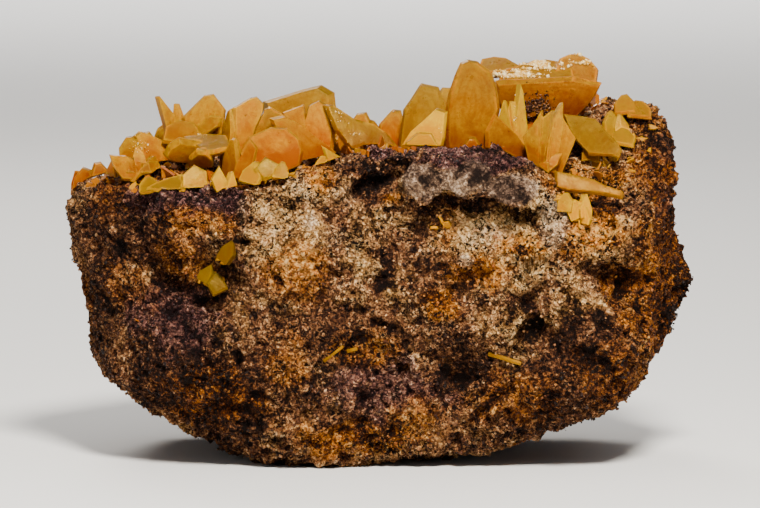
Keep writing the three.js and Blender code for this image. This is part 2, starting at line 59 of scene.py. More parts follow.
# Stage, in metres. A light has its place, size, power, colour and, if it isn't the specimen, its aim.
FLOOR_REACH = 4
FLOOR_COLOUR = (0.8, 0.79, 0.77, 1)
SKY_COLOUR = (0.95, 0.96, 1, 1)
SKY_STRENGTH = 0.17
LIGHTS = {
    "key": ((0.07, -0.34, 0.40), 0.12, 6.8, (1, 0.95, 0.87)),
    "fill": ((-0.45, -0.55, 0.2), 0.3, 0.3, (1, 0.96, 0.92)),
    "back": ((-0.15, 0.42, 0.45), 0.3, 2.4, (1, 0.96, 0.9)),
    "over": ((0, 0, 1.7), 2.4, 8, (1, 0.98, 0.96), (0, 0, 0)),
}
# Lights for the floor far around the specimen, whose narrow spread keeps them off it.
FLOOR_LIGHTS = {"back": (0, 1.7), "front": (0, -1.7), "left": (-1.7, 0), "right": (1.7, 0)}
FLOOR_LIGHT_HEIGHT = 1.3
FLOOR_LIGHT_SPREAD = math.radians(84)
FLOOR_LIGHT = (1.4, 15, (1, 0.98, 0.96))

# Rock: the grids of its two remeshes, and its relief as pairs of lump size and height.
FORM_GRID = 0.8
FORM_SMOOTHING = 4
SKIN_GRID = 0.4
ROCK_TRIANGLES = 190000
FORM_RELIEF = [(7.5, 0.9), (3.8, 0.95)]
SKIN_RELIEF = [(2.3, 0.5), (1.2, 0.36), (0.75, 0.2)]
# Pores, as pairs of size and depth, and how many times wider the spongy areas are that they come in.
PORES = [(2.8, 0.9), (1.4, 0.65), (0.85, 0.45)]
SPONGE_WIDTH = 3.5
SPONGE_FROM_TO = (-0.5, 0.4)
PORE_FROM_TO = (0.2, 0.45)
# How much painted shade darkens the pores and the hollows, and the depths from which and at which a hollow
# takes it in full.
PORE_PAINTED_SHADE = 0.6
HOLLOW_PAINTED_SHADE = 0.5
HOLLOW_FROM_TO = (0.6, 2.6)
# How far past the CAD solid's box the skin may go, and the height under which its foot stays flat.
BOX_ROOM = 0.9
FOOT_HEIGHT = 0.05
# The share of the relief and of the grains that the sleek patches lose.
SLEEK_RELIEF_LOSS = 0.6
SLEEK_GRAIN_LOSS = 0.8
# Grains: how many, smallest and largest. Then the width of their crowds, how few there are between those, the
# height of the foot that has none, and where and by how much they get fewer at the back.
FINE_GRAINS = (15000, 0.12, 0.24)
COARSE_GRAINS = (9000, 0.2, 0.5)
GRAIN_CROWDS = 2.0
GRAIN_FEWEST = 0.3
GRAIN_BARE_FOOT = 1.5
GRAIN_BACK_FROM_TO = (8, 20)
GRAIN_BACK_LOSS = 0.5
GRAIN_SCATTER = 0.12
GRAIN_SINK = 0.1
COARSE_GRAINS_SEED = 3

# Crystals: their bevels, the longest edge in their mesh, and their faces' waves as pairs of width and height.
CRYSTAL_BEVEL = 0.09 * MM
CRYSTAL_EDGE = 0.7 * MM
CRYSTAL_WAVE = [(5.0, 0.09), (1.8, 0.035)]
SAME_POINT = 0.002 * MM
ON_FACE = 0.02 * MM
SMALLEST_FACE = 1.2 * MM * MM
COPLANAR = math.radians(1.5)
BEVEL_ANGLE = 0.25
SHARP_EDGE = math.radians(24)
# How near the rock a crystal's foot is painted deeper in colour, a painted shade where it meets the rock, how
# many growth steps there are in a mm, and how light a face is: for all, and by its tint.
FOOT_SHADE_REACH = 4.5
GROWTH_STEPS = 1.6
FACE_GAIN = (0.6, 0.52)
PLATE_GAIN = (0.62, 0.45)

# Seeds of the noises.
WANDER_SEED, LEDGE_SEED = 7, 9
FORM_SEED, SKIN_SEED, SPONGE_SEED, PORE_SEED = 20, 30, 50, 60
RUST_SEED, LIGHT_SEED, DARK_SEED, PALE_SEED, SLEEK_SEED, PLUM_SEED = 80, 90, 95, 100, 120, 140
GRAIN_SEED, WARP_SEED, WAVE_SEED, CROWD_SEED = 200, 300, 400, 500

# Rays that look for a surface start this far in front of the specimen, or this far above its foot.
FRONT_START = -60
TOP_START = 80
TO_BACK = (0, 1, 0)
DOWN = (0, 0, -1)


# ---------- Noise over numpy points, in mm ----------
HASH_AXES = (73856093, 19349663, 83492791)
HASH_SEED = 2654435761
HASH_MIX = 1274126177
HASH_RANGE = 0xFFFFFF


def lattice(cells, seed):
    """A number from 0 to 1 for each cell, which looks random."""
    i, j, k = (cells[..., axis].astype(np.int64) * step for axis, step in enumerate(HASH_AXES))
    mixed = i ^ j ^ k ^ (seed * HASH_SEED)
    mixed = (mixed ^ (mixed >> 13)) * HASH_MIX
    return ((mixed ^ (mixed >> 16)) & HASH_RANGE) / float(HASH_RANGE)


def value_noise(points, cell, seed=0):
    """Smooth noise from -1 to 1 with lumps of about the cell's size."""
    scaled = points / cell
    low = np.floor(scaled)
    part = scaled - low
    part = part * part * (3 - 2 * part)
    total = np.zeros(len(points))
    for corner in np.ndindex(2, 2, 2):
        weight = np.ones(len(points))
        for axis, step in enumerate(corner):
            weight *= part[:, axis] if step else 1 - part[:, axis]
        total += weight * lattice(low + corner, seed + SEED)
    return total * 2 - 1


def warped(points, cell, seed=0, amount=0.6):
    """The points pushed about by noise, so that what is drawn on them loses its regular shape."""
    shift = np.stack([value_noise(points, cell, seed + WARP_SEED + axis) for axis in range(3)], axis=1)
    return points + shift * cell * amount


def crumbs(points, cell, seed=0):
    """Noise with rounded tops and sharp valleys, from 0 in the valleys to 1."""
    return np.abs(value_noise(warped(points, cell, seed), cell, seed)) ** 0.7


def smooth(low, high, value):
    """A soft rise from 0 at low to 1 at high. Where low is the larger, it falls instead."""
    t = np.clip((value - low) / (high - low), 0, 1)
    return t * t * (3 - 2 * t)


# ---------- Meshes ----------
def vectors(items, key):
    flat = np.empty(len(items) * 3)
    items.foreach_get(key, flat)
    return flat.reshape(-1, 3)


def vertex_points(mesh):
    return vectors(mesh.vertices, "co")


def vertex_normals(mesh):
    return vectors(mesh.vertex_normals, "vector")


def set_points(mesh, points):
    mesh.vertices.foreach_set("co", points.ravel())
    mesh.update()


def add_value(mesh, name, values):
    layer = mesh.attributes.new(name, "FLOAT", "POINT")
    layer.data.foreach_set("value", np.asarray(values, dtype=np.float32))


def new_piece(name, mesh, material, slot, *nodes):
    """A piece that rides on the root, with the given material; the slot is not used. It stands for the nodes,
    if it has any.
    """
    mesh.materials.clear()
    mesh.materials.append(material)
    piece = bpy.data.objects.new(name, mesh)
    bpy.context.scene.collection.objects.link(piece)
    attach(piece, "root")
    if nodes:
        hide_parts(*nodes)
    return piece


def surface_of(mesh):
    """What rays can hit and what distances are measured to."""
    return BVHTree.FromPolygons([vertex.co for vertex in mesh.vertices],
                                [polygon.vertices for polygon in mesh.polygons])


def mesh_of(name, shapes):
    """One mesh of many small shapes, each with its corners in mm and its faces."""
    points, faces = [], []
    for corners, sides in shapes:
        faces += [tuple(i + len(points) for i in side) for side in sides]
        points += [tuple(corner) for corner in corners]
    mesh = bpy.data.meshes.new(name)
    mesh.from_pydata((np.array(points) * MM).tolist(), [], faces)
    return mesh


def modified(mesh, *modifiers):
    """The mesh after some modifiers, each with its kind and settings."""
    holder = bpy.data.objects.new("holder", mesh)
    bpy.context.scene.collection.objects.link(holder)
    for kind, values in modifiers:
        modifier = holder.modifiers.new(kind, kind)
        for key, value in values.items():
            setattr(modifier, key, value)
    result = bpy.data.meshes.new_from_object(holder.evaluated_get(bpy.context.evaluated_depsgraph_get()))
    bpy.data.objects.remove(holder)
    return result


def remeshed(mesh, grid, rounds):
    """A closed mesh of even faces around the given one, smoothed for some rounds."""
    steps = [("REMESH", {"mode": "VOXEL", "voxel_size": grid * MM})]
    if rounds:
        steps.append(("SMOOTH", {"iterations": rounds}))
    return modified(mesh, *steps)


def lighter(mesh, triangles):
    """The mesh with fewer triangles, most of them where it is most uneven."""
    share = min(1, triangles / sum(len(polygon.vertices) - 2 for polygon in mesh.polygons))
    return modified(mesh, ("DECIMATE", {"ratio": share, "use_collapse_triangulate": True}))


# ---------- Materials ----------
class Nodes:
    """A short way to write a node material."""

    # The colour mix node's sockets.
    AMOUNT, FIRST, SECOND, RESULT = 0, 6, 7, 2

    def __init__(self, name):
        self.material = bpy.data.materials.new(name)
        self.material.use_nodes = True
        self.tree = self.material.node_tree
        self.shader = self.tree.nodes["Principled BSDF"]

    def add(self, kind, inputs=None, **settings):
        node = self.tree.nodes.new(kind)
        for key, value in settings.items():
            setattr(node, key, value)
        for key, value in (inputs or {}).items():
            self.join(value, node.inputs[key])
        return node

    def join(self, value, socket):
        if isinstance(value, bpy.types.NodeSocket):
            self.tree.links.new(value, socket)
        else:
            socket.default_value = value

    def attribute(self, name):
        return self.add("ShaderNodeAttribute", attribute_name=name).outputs["Fac"]

    def place(self):
        return self.add("ShaderNodeTexCoord").outputs["Object"]

    def noise(self, size, detail=4, roughness=0.6, distortion=0.0):
        """Noise with lumps of a size in mm."""
        shape = {"Detail": detail, "Roughness": roughness, "Distortion": distortion}
        inputs = {"Vector": self.place(), "Scale": 1 / (size * MM), **shape}
        return self.add("ShaderNodeTexNoise", inputs).outputs["Fac"]

    def grains(self, size):
        """Cells of a size in mm: how far from its middle, and two random numbers for each."""
        node = self.add("ShaderNodeTexVoronoi", {"Vector": self.place(), "Scale": 1 / (size * MM)})
        parts = self.add("ShaderNodeSeparateColor", {"Color": node.outputs["Color"]})
        return node.outputs["Distance"], parts.outputs["Red"], parts.outputs["Green"]

    def ramp(self, value, stops):
        node = self.add("ShaderNodeValToRGB", {"Fac": value})
        elements = node.color_ramp.elements
        while len(elements) < len(stops):
            elements.new(0.5)
        for element, (position, colour) in zip(elements, stops):
            element.position = position
            element.color = (*colour, 1)
        return node.outputs["Color"]

    def level(self, value, low, high, start=0.0, end=1.0):
        """The value's stretch from low to high, turned into one from start to end and cut off there."""
        limits = {"From Min": low, "From Max": high, "To Min": start, "To Max": end}
        return self.add("ShaderNodeMapRange", {"Value": value, **limits}).outputs["Result"]

    def mix(self, amount, a, b, blend="MIX"):
        node = self.add("ShaderNodeMix", data_type="RGBA", blend_type=blend)
        self.join(amount, node.inputs[self.AMOUNT])
        for value, index in ((a, self.FIRST), (b, self.SECOND)):
            self.join((*value, 1) if isinstance(value, tuple) else value, node.inputs[index])
        return node.outputs[self.RESULT]

    def times(self, colour, name):
        """The colour, made lighter or darker by an attribute of the mesh."""
        values = self.add("ShaderNodeAttribute", attribute_name=name).outputs["Color"]
        return self.mix(1.0, colour, values, "MULTIPLY")

    def math(self, operation, a, b):
        return self.add("ShaderNodeMath", {0: a, 1: b}, operation=operation).outputs[0]

    def weigh(self, *pairs):
        """The sum of values, each times its weight."""
        total = None
        for value, weight in pairs:
            share = self.math("MULTIPLY", value, weight)
            total = self.math("ADD", total, share) if total else share
        return total

    def bump(self, height, strength, distance, normal=None):
        inputs = {"Height": height, "Strength": strength, "Distance": distance * MM}
        if normal:
            inputs["Normal"] = normal
        return self.add("ShaderNodeBump", inputs).outputs["Normal"]

    def finish(self, **inputs):
        """The material, with the shader's sockets filled. An underscore stands for a space in their names."""
        for key, value in inputs.items():
            self.join(value, self.shader.inputs[key.replace("_", " ")])
        return self.material


# Colours of the rock's grains, from its darkest to its palest.
BROWN = [(0.0, (0.005, 0.002, 0.001)), (0.25, (0.032, 0.010, 0.004)), (0.45, (0.11, 0.037, 0.013)),
         (0.65, (0.27, 0.106, 0.038)), (0.82, (0.50, 0.235, 0.085)), (1.0, (0.84, 0.52, 0.25))]
OCHRE = [(0.0, (0.007, 0.003, 0.001)), (0.25, (0.055, 0.021, 0.004)), (0.45, (0.19, 0.083, 0.018)),
         (0.65, (0.42, 0.21, 0.062)), (0.82, (0.64, 0.36, 0.12)), (1.0, (0.88, 0.60, 0.28))]
RUST = [(0.0, (0.008, 0.002, 0.0)), (0.25, (0.085, 0.019, 0.001)), (0.45, (0.26, 0.068, 0.003)),
        (0.7, (0.54, 0.18, 0.012)), (1.0, (0.82, 0.43, 0.1))]
PALE = [(0.0, (0.016, 0.008, 0.005)), (0.25, (0.10, 0.053, 0.030)), (0.45, (0.28, 0.155, 0.08)),
        (0.7, (0.54, 0.33, 0.17)), (1.0, (0.90, 0.70, 0.47))]
PLUM = [(0.0, (0.007, 0.002, 0.003)), (0.25, (0.042, 0.014, 0.013)), (0.45, (0.115, 0.042, 0.036)),
        (0.7, (0.27, 0.12, 0.095)), (1.0, (0.62, 0.38, 0.30))]
GREY = [(0.0, (0.010, 0.005, 0.003)), (0.25, (0.034, 0.018, 0.011)), (0.45, (0.078, 0.045, 0.029)),
        (0.7, (0.165, 0.104, 0.069)), (1.0, (0.46, 0.32, 0.22))]
# The near-black painted shade of the rock's small holes.
HOLE_SHADE_COLOUR = (0.005, 0.002, 0.001)
# What is taken off the sum that picks a colour, so that it runs from about 0 to 1.
ROCK_MIDDLE = 1.23
GRAIN_MIDDLE = 0.05

# Each finish: the colours of a crystal's flat faces, its deep parts and its thin edges, whose lighter colour
# on the rims is a painted glow of light through them.
CRYSTAL_COLOURS = {
    "wulfenite_tan": ((0.41, 0.20, 0.006), (0.24, 0.08, 0.0), (0.48, 0.26, 0.01)),
    "wulfenite_honey": ((0.56, 0.27, 0.0), (0.34, 0.09, 0.0), (0.64, 0.35, 0.0)),
    "wulfenite_amber": ((0.53, 0.22, 0.0), (0.29, 0.055, 0.0), (0.60, 0.30, 0.0)),
    "wulfenite_orange": ((0.51, 0.175, 0.0), (0.26, 0.042, 0.0), (0.58, 0.26, 0.0)),
    "wulfenite_lemon": ((0.68, 0.41, 0.0), (0.52, 0.21, 0.0), (0.74, 0.47, 0.0)),
}
# The greyer colour of the crystals' upper ends.
CRYSTAL_CROWN = (0.31, 0.19, 0.03)
# The deeper colour painted on faces that look up: painted shade against the most light, which they catch.
CRYSTAL_TOPS_SHADE = (0.34, 0.17, 0.0)
# Light goes this many mm into a crystal, less far for green and blue, and this share of it goes through.
CRYSTAL_DEPTH = 1.6
CRYSTAL_DEPTH_BY_COLOUR = (1.0, 0.45, 0.02)
CRYSTAL_THROUGH = 0.12
CRYSTAL_IOR = 1.6
CRYSTAL_ROUGHNESS = (0.24, 0.46)
CRYSTAL_GLOSS = (1.0, 0.62, 0.12, 1)
# Colours of the rosette's frost and of the pale grains that are painted highlights.
FROST_AND_GLINT_COLOURS = ((0.56, 0.27, 0.0), (0.92, 0.72, 0.34))


def rock_colour(n, index):
    """The grains' colour, from how light each is, painted light and shade included, and from the rock's
    patches, which have ragged edges.
    """
    ragged = n.weigh((n.noise(2.4, 6, 0.75), 1.0), (n.grains(0.5)[2], 0.35))
    rust = n.level(n.weigh((n.attribute("rust"), 1.0), (ragged, 1.1)), 0.85, 1.4)
    pale = n.level(n.weigh((n.attribute("pale"), 1.0), (ragged, 1.5)), 1.05, 2.2, 0.0, 0.8)
    # More ochre where the light value, which holds painted light, is high.
    ochre = n.level(n.weigh((n.noise(5, 5, 0.7), 1.0), (n.attribute("light"), 0.35)), 0.47, 0.68)
    colour = n.mix(ochre, n.ramp(index, BROWN), n.ramp(index, OCHRE))
    plum = n.level(n.weigh((n.attribute("plum"), 1.0), (ragged, 0.8)), 0.75, 1.2)
    sleek = n.level(n.weigh((n.attribute("sleek"), 1.0), (ragged, 1.1)), 0.9, 1.5, 0.0, 0.92)
    colour = n.mix(plum, colour, n.ramp(index, PLUM))
    colour = n.mix(rust, colour, n.ramp(index, RUST))
    colour = n.mix(sleek, colour, n.ramp(index, GREY))
    return n.mix(pale, colour, n.ramp(index, PALE))


def rock_material():
    n = Nodes("gossan")
    middle, pick, gloss_and_painted_glint = n.grains(0.46)
    small_middle, small_pick, _ = n.grains(0.26)
    cloud = n.noise(1.3, 8, 0.85)
    coarse_cloud = n.noise(3.6, 6, 0.7, 1.0)
    # The index that picks a grain's colour: painted light on lit patches, on the skin's lumps and on glint
    # cells, which are also glossier, and painted shade in pores, hollows and the skin's valleys; the rest is
    # the grains' own tone.
    index = n.weigh((pick, 0.42), (small_pick, 0.42), (cloud, 1.5), (coarse_cloud, 0.8),
                    (n.attribute("light"), 0.46), (n.attribute("painted_cavity_shade"), -0.72),
                    (n.attribute("height"), 0.5), (n.level(gloss_and_painted_glint, 0.9, 0.96), 0.22))
    colour = rock_colour(n, n.math("SUBTRACT", index, ROCK_MIDDLE))
    # Painted shade: the small holes, which are only a bump, are painted near black.
    spongy = n.weigh((n.noise(0.8, 6, 0.75, 1.2), 1.0), (n.noise(6, 4), -0.35), (n.attribute("sleek"), 0.12))
    holes = n.level(spongy, 0.25, 0.31)
    colour = n.mix(holes, HOLE_SHADE_COLOUR, colour)
    coarse = n.bump(n.noise(0.9, 7, 0.8), 1.0, 0.8)
    facets = n.bump(n.weigh((middle, 0.7), (small_middle, 0.5)), 0.9, 0.3, coarse)
    fine = n.bump(holes, 1.0, 0.4, facets)
    rough = n.level(gloss_and_painted_glint, 0.9, 0.97, 0.86, 0.3)
    return n.finish(Base_Color=colour, Roughness=rough, Normal=fine, Specular_IOR_Level=0.1)


def grain_material():
    n = Nodes("gossan_grains")
    cloud = n.noise(0.5, 3, 0.6)
    # Grains are lighter where the rock has painted light and darker where it has painted shade.
    index = n.weigh((n.attribute("shade"), 0.6), (cloud, 0.4), (n.attribute("light"), 0.5))
    colour = rock_colour(n, n.math("SUBTRACT", index, GRAIN_MIDDLE))
    return n.finish(Base_Color=colour, Roughness=0.5, Normal=n.bump(cloud, 0.4, 0.1),
                    Specular_IOR_Level=0.2)


def crystal_material(name, face, core, rim):
    """face, core and rim are the colours of a crystal's flat faces, its deep parts and its thin edges."""
    n = Nodes(name)
    cloud = n.noise(3.6, 5, 0.6, 0.8)
    # Deeper colour from the cloud's random tone, the face's tint and painted shade at the foot; less of it
    # towards the crown.
    deep = n.weigh((cloud, 2.6), (n.attribute("tint"), 0.4), (n.attribute("foot"), 0.6),
                   (n.attribute("crown"), -0.7))
    colour = n.mix(n.level(deep, 0.7, 1.65), face, core)
    crown = n.level(n.weigh((n.attribute("crown"), 1.0), (n.noise(5, 3), 0.8)), 0.95, 1.5, 0.0, 0.6)
    colour = n.mix(crown, colour, CRYSTAL_CROWN)
    veil = n.level(n.noise(1.6, 6, 0.7, 1.0), 0.56, 0.8, 0.0, 0.5)
    colour = n.mix(veil, colour, rim)
    zones = n.math("SINE", n.weigh((n.attribute("rim"), 5.5), (n.noise(3.0, 3), 5.0)), 0.0)
    colour = n.mix(n.level(zones, -0.2, 1.0, 0.0, 0.26), colour, core)
    # Painted glow: the faces' thin rims are lighter, as light coming through them would make them.
    edge = n.math("MULTIPLY", n.level(n.attribute("rim"), 0.26, 0.0),
                  n.level(cloud, 0.35, 0.65, 0.0, 0.6))
    # Faces that look up take the tops' colour, a painted shade.
    colour = n.mix(n.attribute("up"), n.mix(edge, colour, rim), CRYSTAL_TOPS_SHADE)
    specks = n.level(n.noise(0.7, 6, 0.75, 0.6), 0.44, 0.7, 0.0, 0.7)
    # The colour times each crystal's own tone and its painted shade.
    colour = n.times(n.mix(specks, colour, core), "tone_and_painted_shade")
    steps = n.bump(n.attribute("step"), 0.3, 0.1)
    ripple = n.bump(n.noise(1.2, 6, 0.65, 1.2), 0.4, 0.12, steps)
    rough = n.level(n.noise(2.4, 4), 0.3, 0.7, *CRYSTAL_ROUGHNESS)
    return n.finish(
        Base_Color=colour, Roughness=rough, Normal=ripple, IOR=CRYSTAL_IOR,
        Subsurface_Weight=0.15, Subsurface_Scale=CRYSTAL_DEPTH * MM,
        Subsurface_Radius=CRYSTAL_DEPTH_BY_COLOUR, Transmission_Weight=CRYSTAL_THROUGH,
        Specular_IOR_Level=0.1, Specular_Tint=CRYSTAL_GLOSS,
    )


def frost_and_glint_material():
    n = Nodes("frost_and_glints")
    colour = n.mix(n.level(n.attribute("shade"), 0.02, 0.6), *FROST_AND_GLINT_COLOURS)
    return n.finish(Base_Color=colour, Roughness=0.3, Transmission_Weight=0.2, IOR=1.55)


# ---------- Rock ----------
# Forms on the front of the rock: middle x and z, half width and half height, how far it is pushed out
# (or in), and how much it drops from left to right.
FRONT_FORMS = [
    ((-0.9, 47.4), (4.6, 1.5), -2.6, -0.5),
    ((2.4, 50.2), (1.8, 1.4), -1.4, -0.5),
    ((39.6, 31.5), (4.6, 2.6), -3.0, 0.2),
    ((14.5, 30.6), (3.4, 2.0), -2.4, -0.5),
    ((24, 36.8), (9, 1.3), 1.3, -0.33),
    ((-33, 30.4), (9, 1.7), -2.2, 0.4),
    ((-26, 31.6), (3.4, 4.2), -2.6, 0.0),
    ((-22.6, 40), (0.9, 4.2), -1.5, 0.0),
    ((13, 17), (2.3, 4.6), -1.3, 0.3),
    ((25.4, 23), (2.4, 1.8), -2.0, 0.0),
    ((4.2, 16.6), (1.7, 1.8), -1.8, 0.0),
    ((37, 40.8), (3.2, 1.5), -1.5, 0.1),
    ((-6, 26.5), (8, 1.4), -1.2, 0.25),
    ((-13, 37.5), (7.5, 6.0), 0.9, 0.0),
    ((-8, 13), (4, 3), 1.1, 0.0),
    ((29, 13.5), (6, 2.2), 1.3, -0.2),
    ((-1, 33), (4, 3), 0.9, 0.0),
    ((6.2, 48.2), (3.6, 2.6), 1.6, 0.0),
    ((15, 48.4), (4.0, 2.4), 1.6, 0.1),
    ((21.2, 46.6), (2.8, 2.0), 1.3, 0.2),
    ((10.4, 48.6), (0.8, 2.6), -1.2, 0.0),
    ((-13.3, 45.7), (8, 0.8), 0.8, -0.57),
]
# The lower edge of the overhanging ledge: x and height along it. Then how far the rock steps out above it and
# in below it, and how far up and down that reaches.
LEDGE_EDGE = [(-5, 45.4), (3.2, 45.6), (8, 43.6), (10.2, 46.8), (12.8, 45.8), (15, 44.7), (18, 45.1),
              (19.5, 44.3), (22.5, 43.7), (27, 43.2)]
LEDGE_OUT = 1.5
LEDGE_IN = 3.0
LEDGE_TOP = 6.5
RECESS_HEIGHT = 3.6

# Patches on the rock: middle (x, y, z), radius across and radius in height, strength.
RUST_PATCHES = [
    ((-27, -22, 12), 9, 7, 0.75), ((-5, -22, 5), 9, 4, 0.7), ((17, -26, 33), 6, 3.5, 0.9),
    ((25, -26, 37), 8, 2.5, 0.7), ((35, -24, 39), 6, 5, 0.75), ((-9.6, -24, 48.6), 2.4, 2.4, 1.0),
    ((44, -14, 30), 10, 16, 0.75), ((34, -18, 47), 7, 4, 0.9), ((10, -26, 28), 4, 3, 0.8),
    ((-31, -25, 41), 8, 2.4, 0.6), ((22, -25, 12), 8, 5, 0.5), ((-2, -25, 20), 6, 3, 0.6),
    ((1.8, -27, 44.8), 2.4, 1.1, 1.0), ((20, 24, 26), 12, 12, 0.7), ((-26, 24, 30), 10, 9, 0.5),
    ((-46, 4, 26), 9, 9, 0.5), ((49, 6, 38), 8, 8, 0.6), ((44, -2, 56), 6, 3, 0.5),
    ((-15, -25, 17), 5, 6, 0.5), ((38, -22, 16), 7, 6, 0.5), ((50, -3, 34), 8, 17, 1.0),
    ((-41, -14, 30), 5, 5, 0.4), ((6, -24, 8), 6, 4, 0.5),
]
# Patches painted lighter: partly painted light, on the lit middle of the front and the lit tops of its ridges
# and ledge, partly paler stone.
LIT_AND_PALER_PATCHES = [
    ((-13, -26, 38), 7.5, 7, 0.36), ((-2, -26, 36), 5, 5, 0.3), ((18, -27, 39.5), 10, 4, 0.55),
    ((-37, -17, 9), 7, 7, 0.1), ((28, -26, 33), 7, 4, 0.35), ((35.5, -24, 39), 6, 5, 0.6),
    ((0, 26, 18), 14, 9, 0.45), ((-46, -6, 37), 4, 6, 0.1), ((20, -26, 26), 6, 5, 0.25),
    ((32, -20, 47), 6, 4, 0.45), ((24, 24, 40), 9, 7, 0.35), ((13, -28, 47.6), 10, 2.6, 0.4),
    ((2, -27, 41), 5, 3, 0.35), ((30, -26, 30), 7, 5, 0.3), ((-18, -26, 43.2), 3, 1.3, 0.6),
    ((-13, -26, 46), 3, 1.3, 0.6), ((-8.4, -26, 48.6), 2.6, 1.3, 0.55), ((22, -27, 35.4), 6, 2.0, 0.45),
    ((-12, -25, 46), 6, 3, 0.35), ((27.5, -27, 43), 3, 6, 0.6),
]
# Patches painted darker: partly painted shade, on the sides and lower parts that turn away from the light and
# in hollows, partly darker stone.
SHADED_AND_DARKER_PATCHES = [
    ((-32, -24, 44), 9, 3, 0.4), ((18, -26, 53), 7, 2.4, 0.4), ((-34, -22, 24), 8, 6, 0.45),
    ((12, -25, 16), 6, 6, 0.35), ((28, -24, 8), 9, 4, 0.5), ((-8, -24, 24), 7, 4, 0.3),
    ((36.8, -24, 43), 3, 1.3, 0.9), ((-15, -24, 51), 4, 2, 0.4),
    ((49, -8, 34), 7, 26, 0.7), ((-42, -16, 40), 9, 9, 0.5), ((36, -22, 17), 9, 9, 0.5),
    ((-30, -22, 12), 15, 11, 0.75), ((-1.5, -26, 47.5), 3, 3, 0.7), ((16, -26, 51), 9, 1.6, 0.5),
    ((-5, -24, 12), 9, 7, 0.2), ((-46, -8, 22), 6, 12, 0.4),
]
PALE_PATCHES = [
    ((6.6, -28, 46.6), 2.0, 1.2, 0.4), ((15, -28.5, 47.6), 2.6, 1.2, 0.5), ((-11, -26, 41.4), 1.2, 1.4, 0.8),
    ((28.4, -26, 41.2), 2.4, 4.8, 1.25), ((-12.5, -25, 46), 3.0, 1.8, 0.35),
    ((14.3, -27, 34.8), 1.5, 1.0, 1.4),
    ((-22, -25, 42.5), 1.0, 3.0, 0.9), ((12, 26, 38), 6, 5, 0.6), ((-8, -26, 38), 2.6, 2.8, 0.3),
    ((30, 24, 18), 6, 4, 0.5), ((18, -27, 38.4), 5, 2.4, 0.45), ((-5, -26, 45.5), 2.0, 2.6, 0.5),
]
# Where the rock's skin is smooth and grey, and where it is plum-coloured.
SLEEK_PATCHES = [
    ((6.2, -28, 48.2), 4.0, 3.0, 1.0), ((14.6, -28, 48.6), 4.4, 2.4, 1.0), ((21.4, -28, 46.8), 3.6, 2.4, 1.0),
]
PLUM_PATCHES = [
    ((-34, -22, 44.5), 12, 4, 1.0), ((17, -24, 52), 11, 2.6, 1.0), ((-17, -24, 51), 6, 2.4, 0.9),
    ((2, -24, 53), 6, 2.2, 0.8), ((-34, -20, 26), 9, 7, 0.6), ((0, -24, 14), 14, 6, 0.5),
    ((48, -6, 40), 6, 12, 0.5), ((-12, 24, 44), 14, 6, 0.8), ((26, 24, 12), 12, 6, 0.6),
    ((-46, 8, 36), 6, 8, 0.6),
]
# How deep every patch goes, the shares of its radius where it is gone and in full, and how uneven its edge
# is: lump size, amount and what is added to its seed. Then the rust in wide areas: lump size and amount.
PATCH_DEPTH = 12
PATCH_FADE = (1.3, 0.5)
PATCH_EDGE = [(4.0, 0.4, 0), (1.7, 0.25, 5)]
WIDE_RUST = (11, 0.55)
# Where the front begins and is in full, and the same for the ledge's two ends.
FRONT_FROM_TO = (-12, -18)
LEDGE_LEFT_FROM_TO = (4, 8)
LEDGE_RIGHT_FROM_TO = (28, 24)
LEDGE_WAVE = (1.1, 0.35)
# A grain is a small uneven octahedron.
GRAIN_CORNERS = np.array([(1, 0, 0), (-1, 0, 0), (0, 1, 0), (0, -1, 0), (0, 0, 1), (0, 0, -1)])
GRAIN_FACES = np.array([(0, 2, 4), (2, 1, 4), (1, 3, 4), (3, 0, 4),
                        (2, 0, 5), (1, 2, 5), (3, 1, 5), (0, 3, 5)])


def patches(points, spots, seed):
    """How much of a colour each point has: soft spots with uneven edges."""
    uneven = sum(amount * value_noise(points, cell, seed + step) for cell, amount, step in PATCH_EDGE)
    most = np.zeros(len(points))
    for middle, across, high, strength in spots:
        reach = np.array([across, PATCH_DEPTH, high])
        away = np.linalg.norm((points - np.array(middle)) / reach, axis=1)
        most = np.maximum(most, strength * smooth(*PATCH_FADE, away + uneven))
    return most


def form_push(points):
    """How far each point of the rock's front is pushed out by forms finer than the solid's faces."""
    x = points[:, 0]
    z = points[:, 2]
    front = smooth(*FRONT_FROM_TO, points[:, 1])
    wander = warped(points, 3.0, WANDER_SEED, 0.3)
    push = np.zeros(len(points))
    for (middle_x, middle_z), (wide, high), amount, drop in FRONT_FORMS:
        across = (wander[:, 0] - middle_x) / wide
        up = (wander[:, 2] - middle_z + drop * (x - middle_x)) / high
        push += amount * np.exp(-(across ** 2 + up ** 2) ** 1.5)
    ends = np.array(LEDGE_EDGE)
    edge = np.interp(x, ends[:, 0], ends[:, 1])
    edge += LEDGE_WAVE[1] * value_noise(points, LEDGE_WAVE[0], LEDGE_SEED)
    along = smooth(*LEDGE_LEFT_FROM_TO, x) * smooth(*LEDGE_RIGHT_FROM_TO, x)
    above = smooth(-0.15, 0.25, z - edge) * smooth(LEDGE_TOP, LEDGE_TOP * 0.6, z - edge)
    below = smooth(0.2, -0.2, z - edge) * smooth(-RECESS_HEIGHT, -RECESS_HEIGHT * 0.35, z - edge)
    push += along * (LEDGE_OUT * above - LEDGE_IN * below)
    return push * front


def keep_foot(points, moved):
    """The flat foot stays flat, and nothing goes below it."""
    foot = points[:, 2] < FOOT_HEIGHT
    moved[foot] = points[foot]
    moved[:, 2] = np.maximum(moved[:, 2], 0)
    return moved


def kept_near(solid, moved):
    """Nothing goes far past the solid's own box."""
    over = np.maximum(moved - solid.max(axis=0), 0)
    under = np.maximum(solid.min(axis=0) - moved, 0)
    moved -= over - BOX_ROOM * (1 - np.exp(-over / BOX_ROOM))
    moved += under - BOX_ROOM * (1 - np.exp(-under / BOX_ROOM))
    return moved


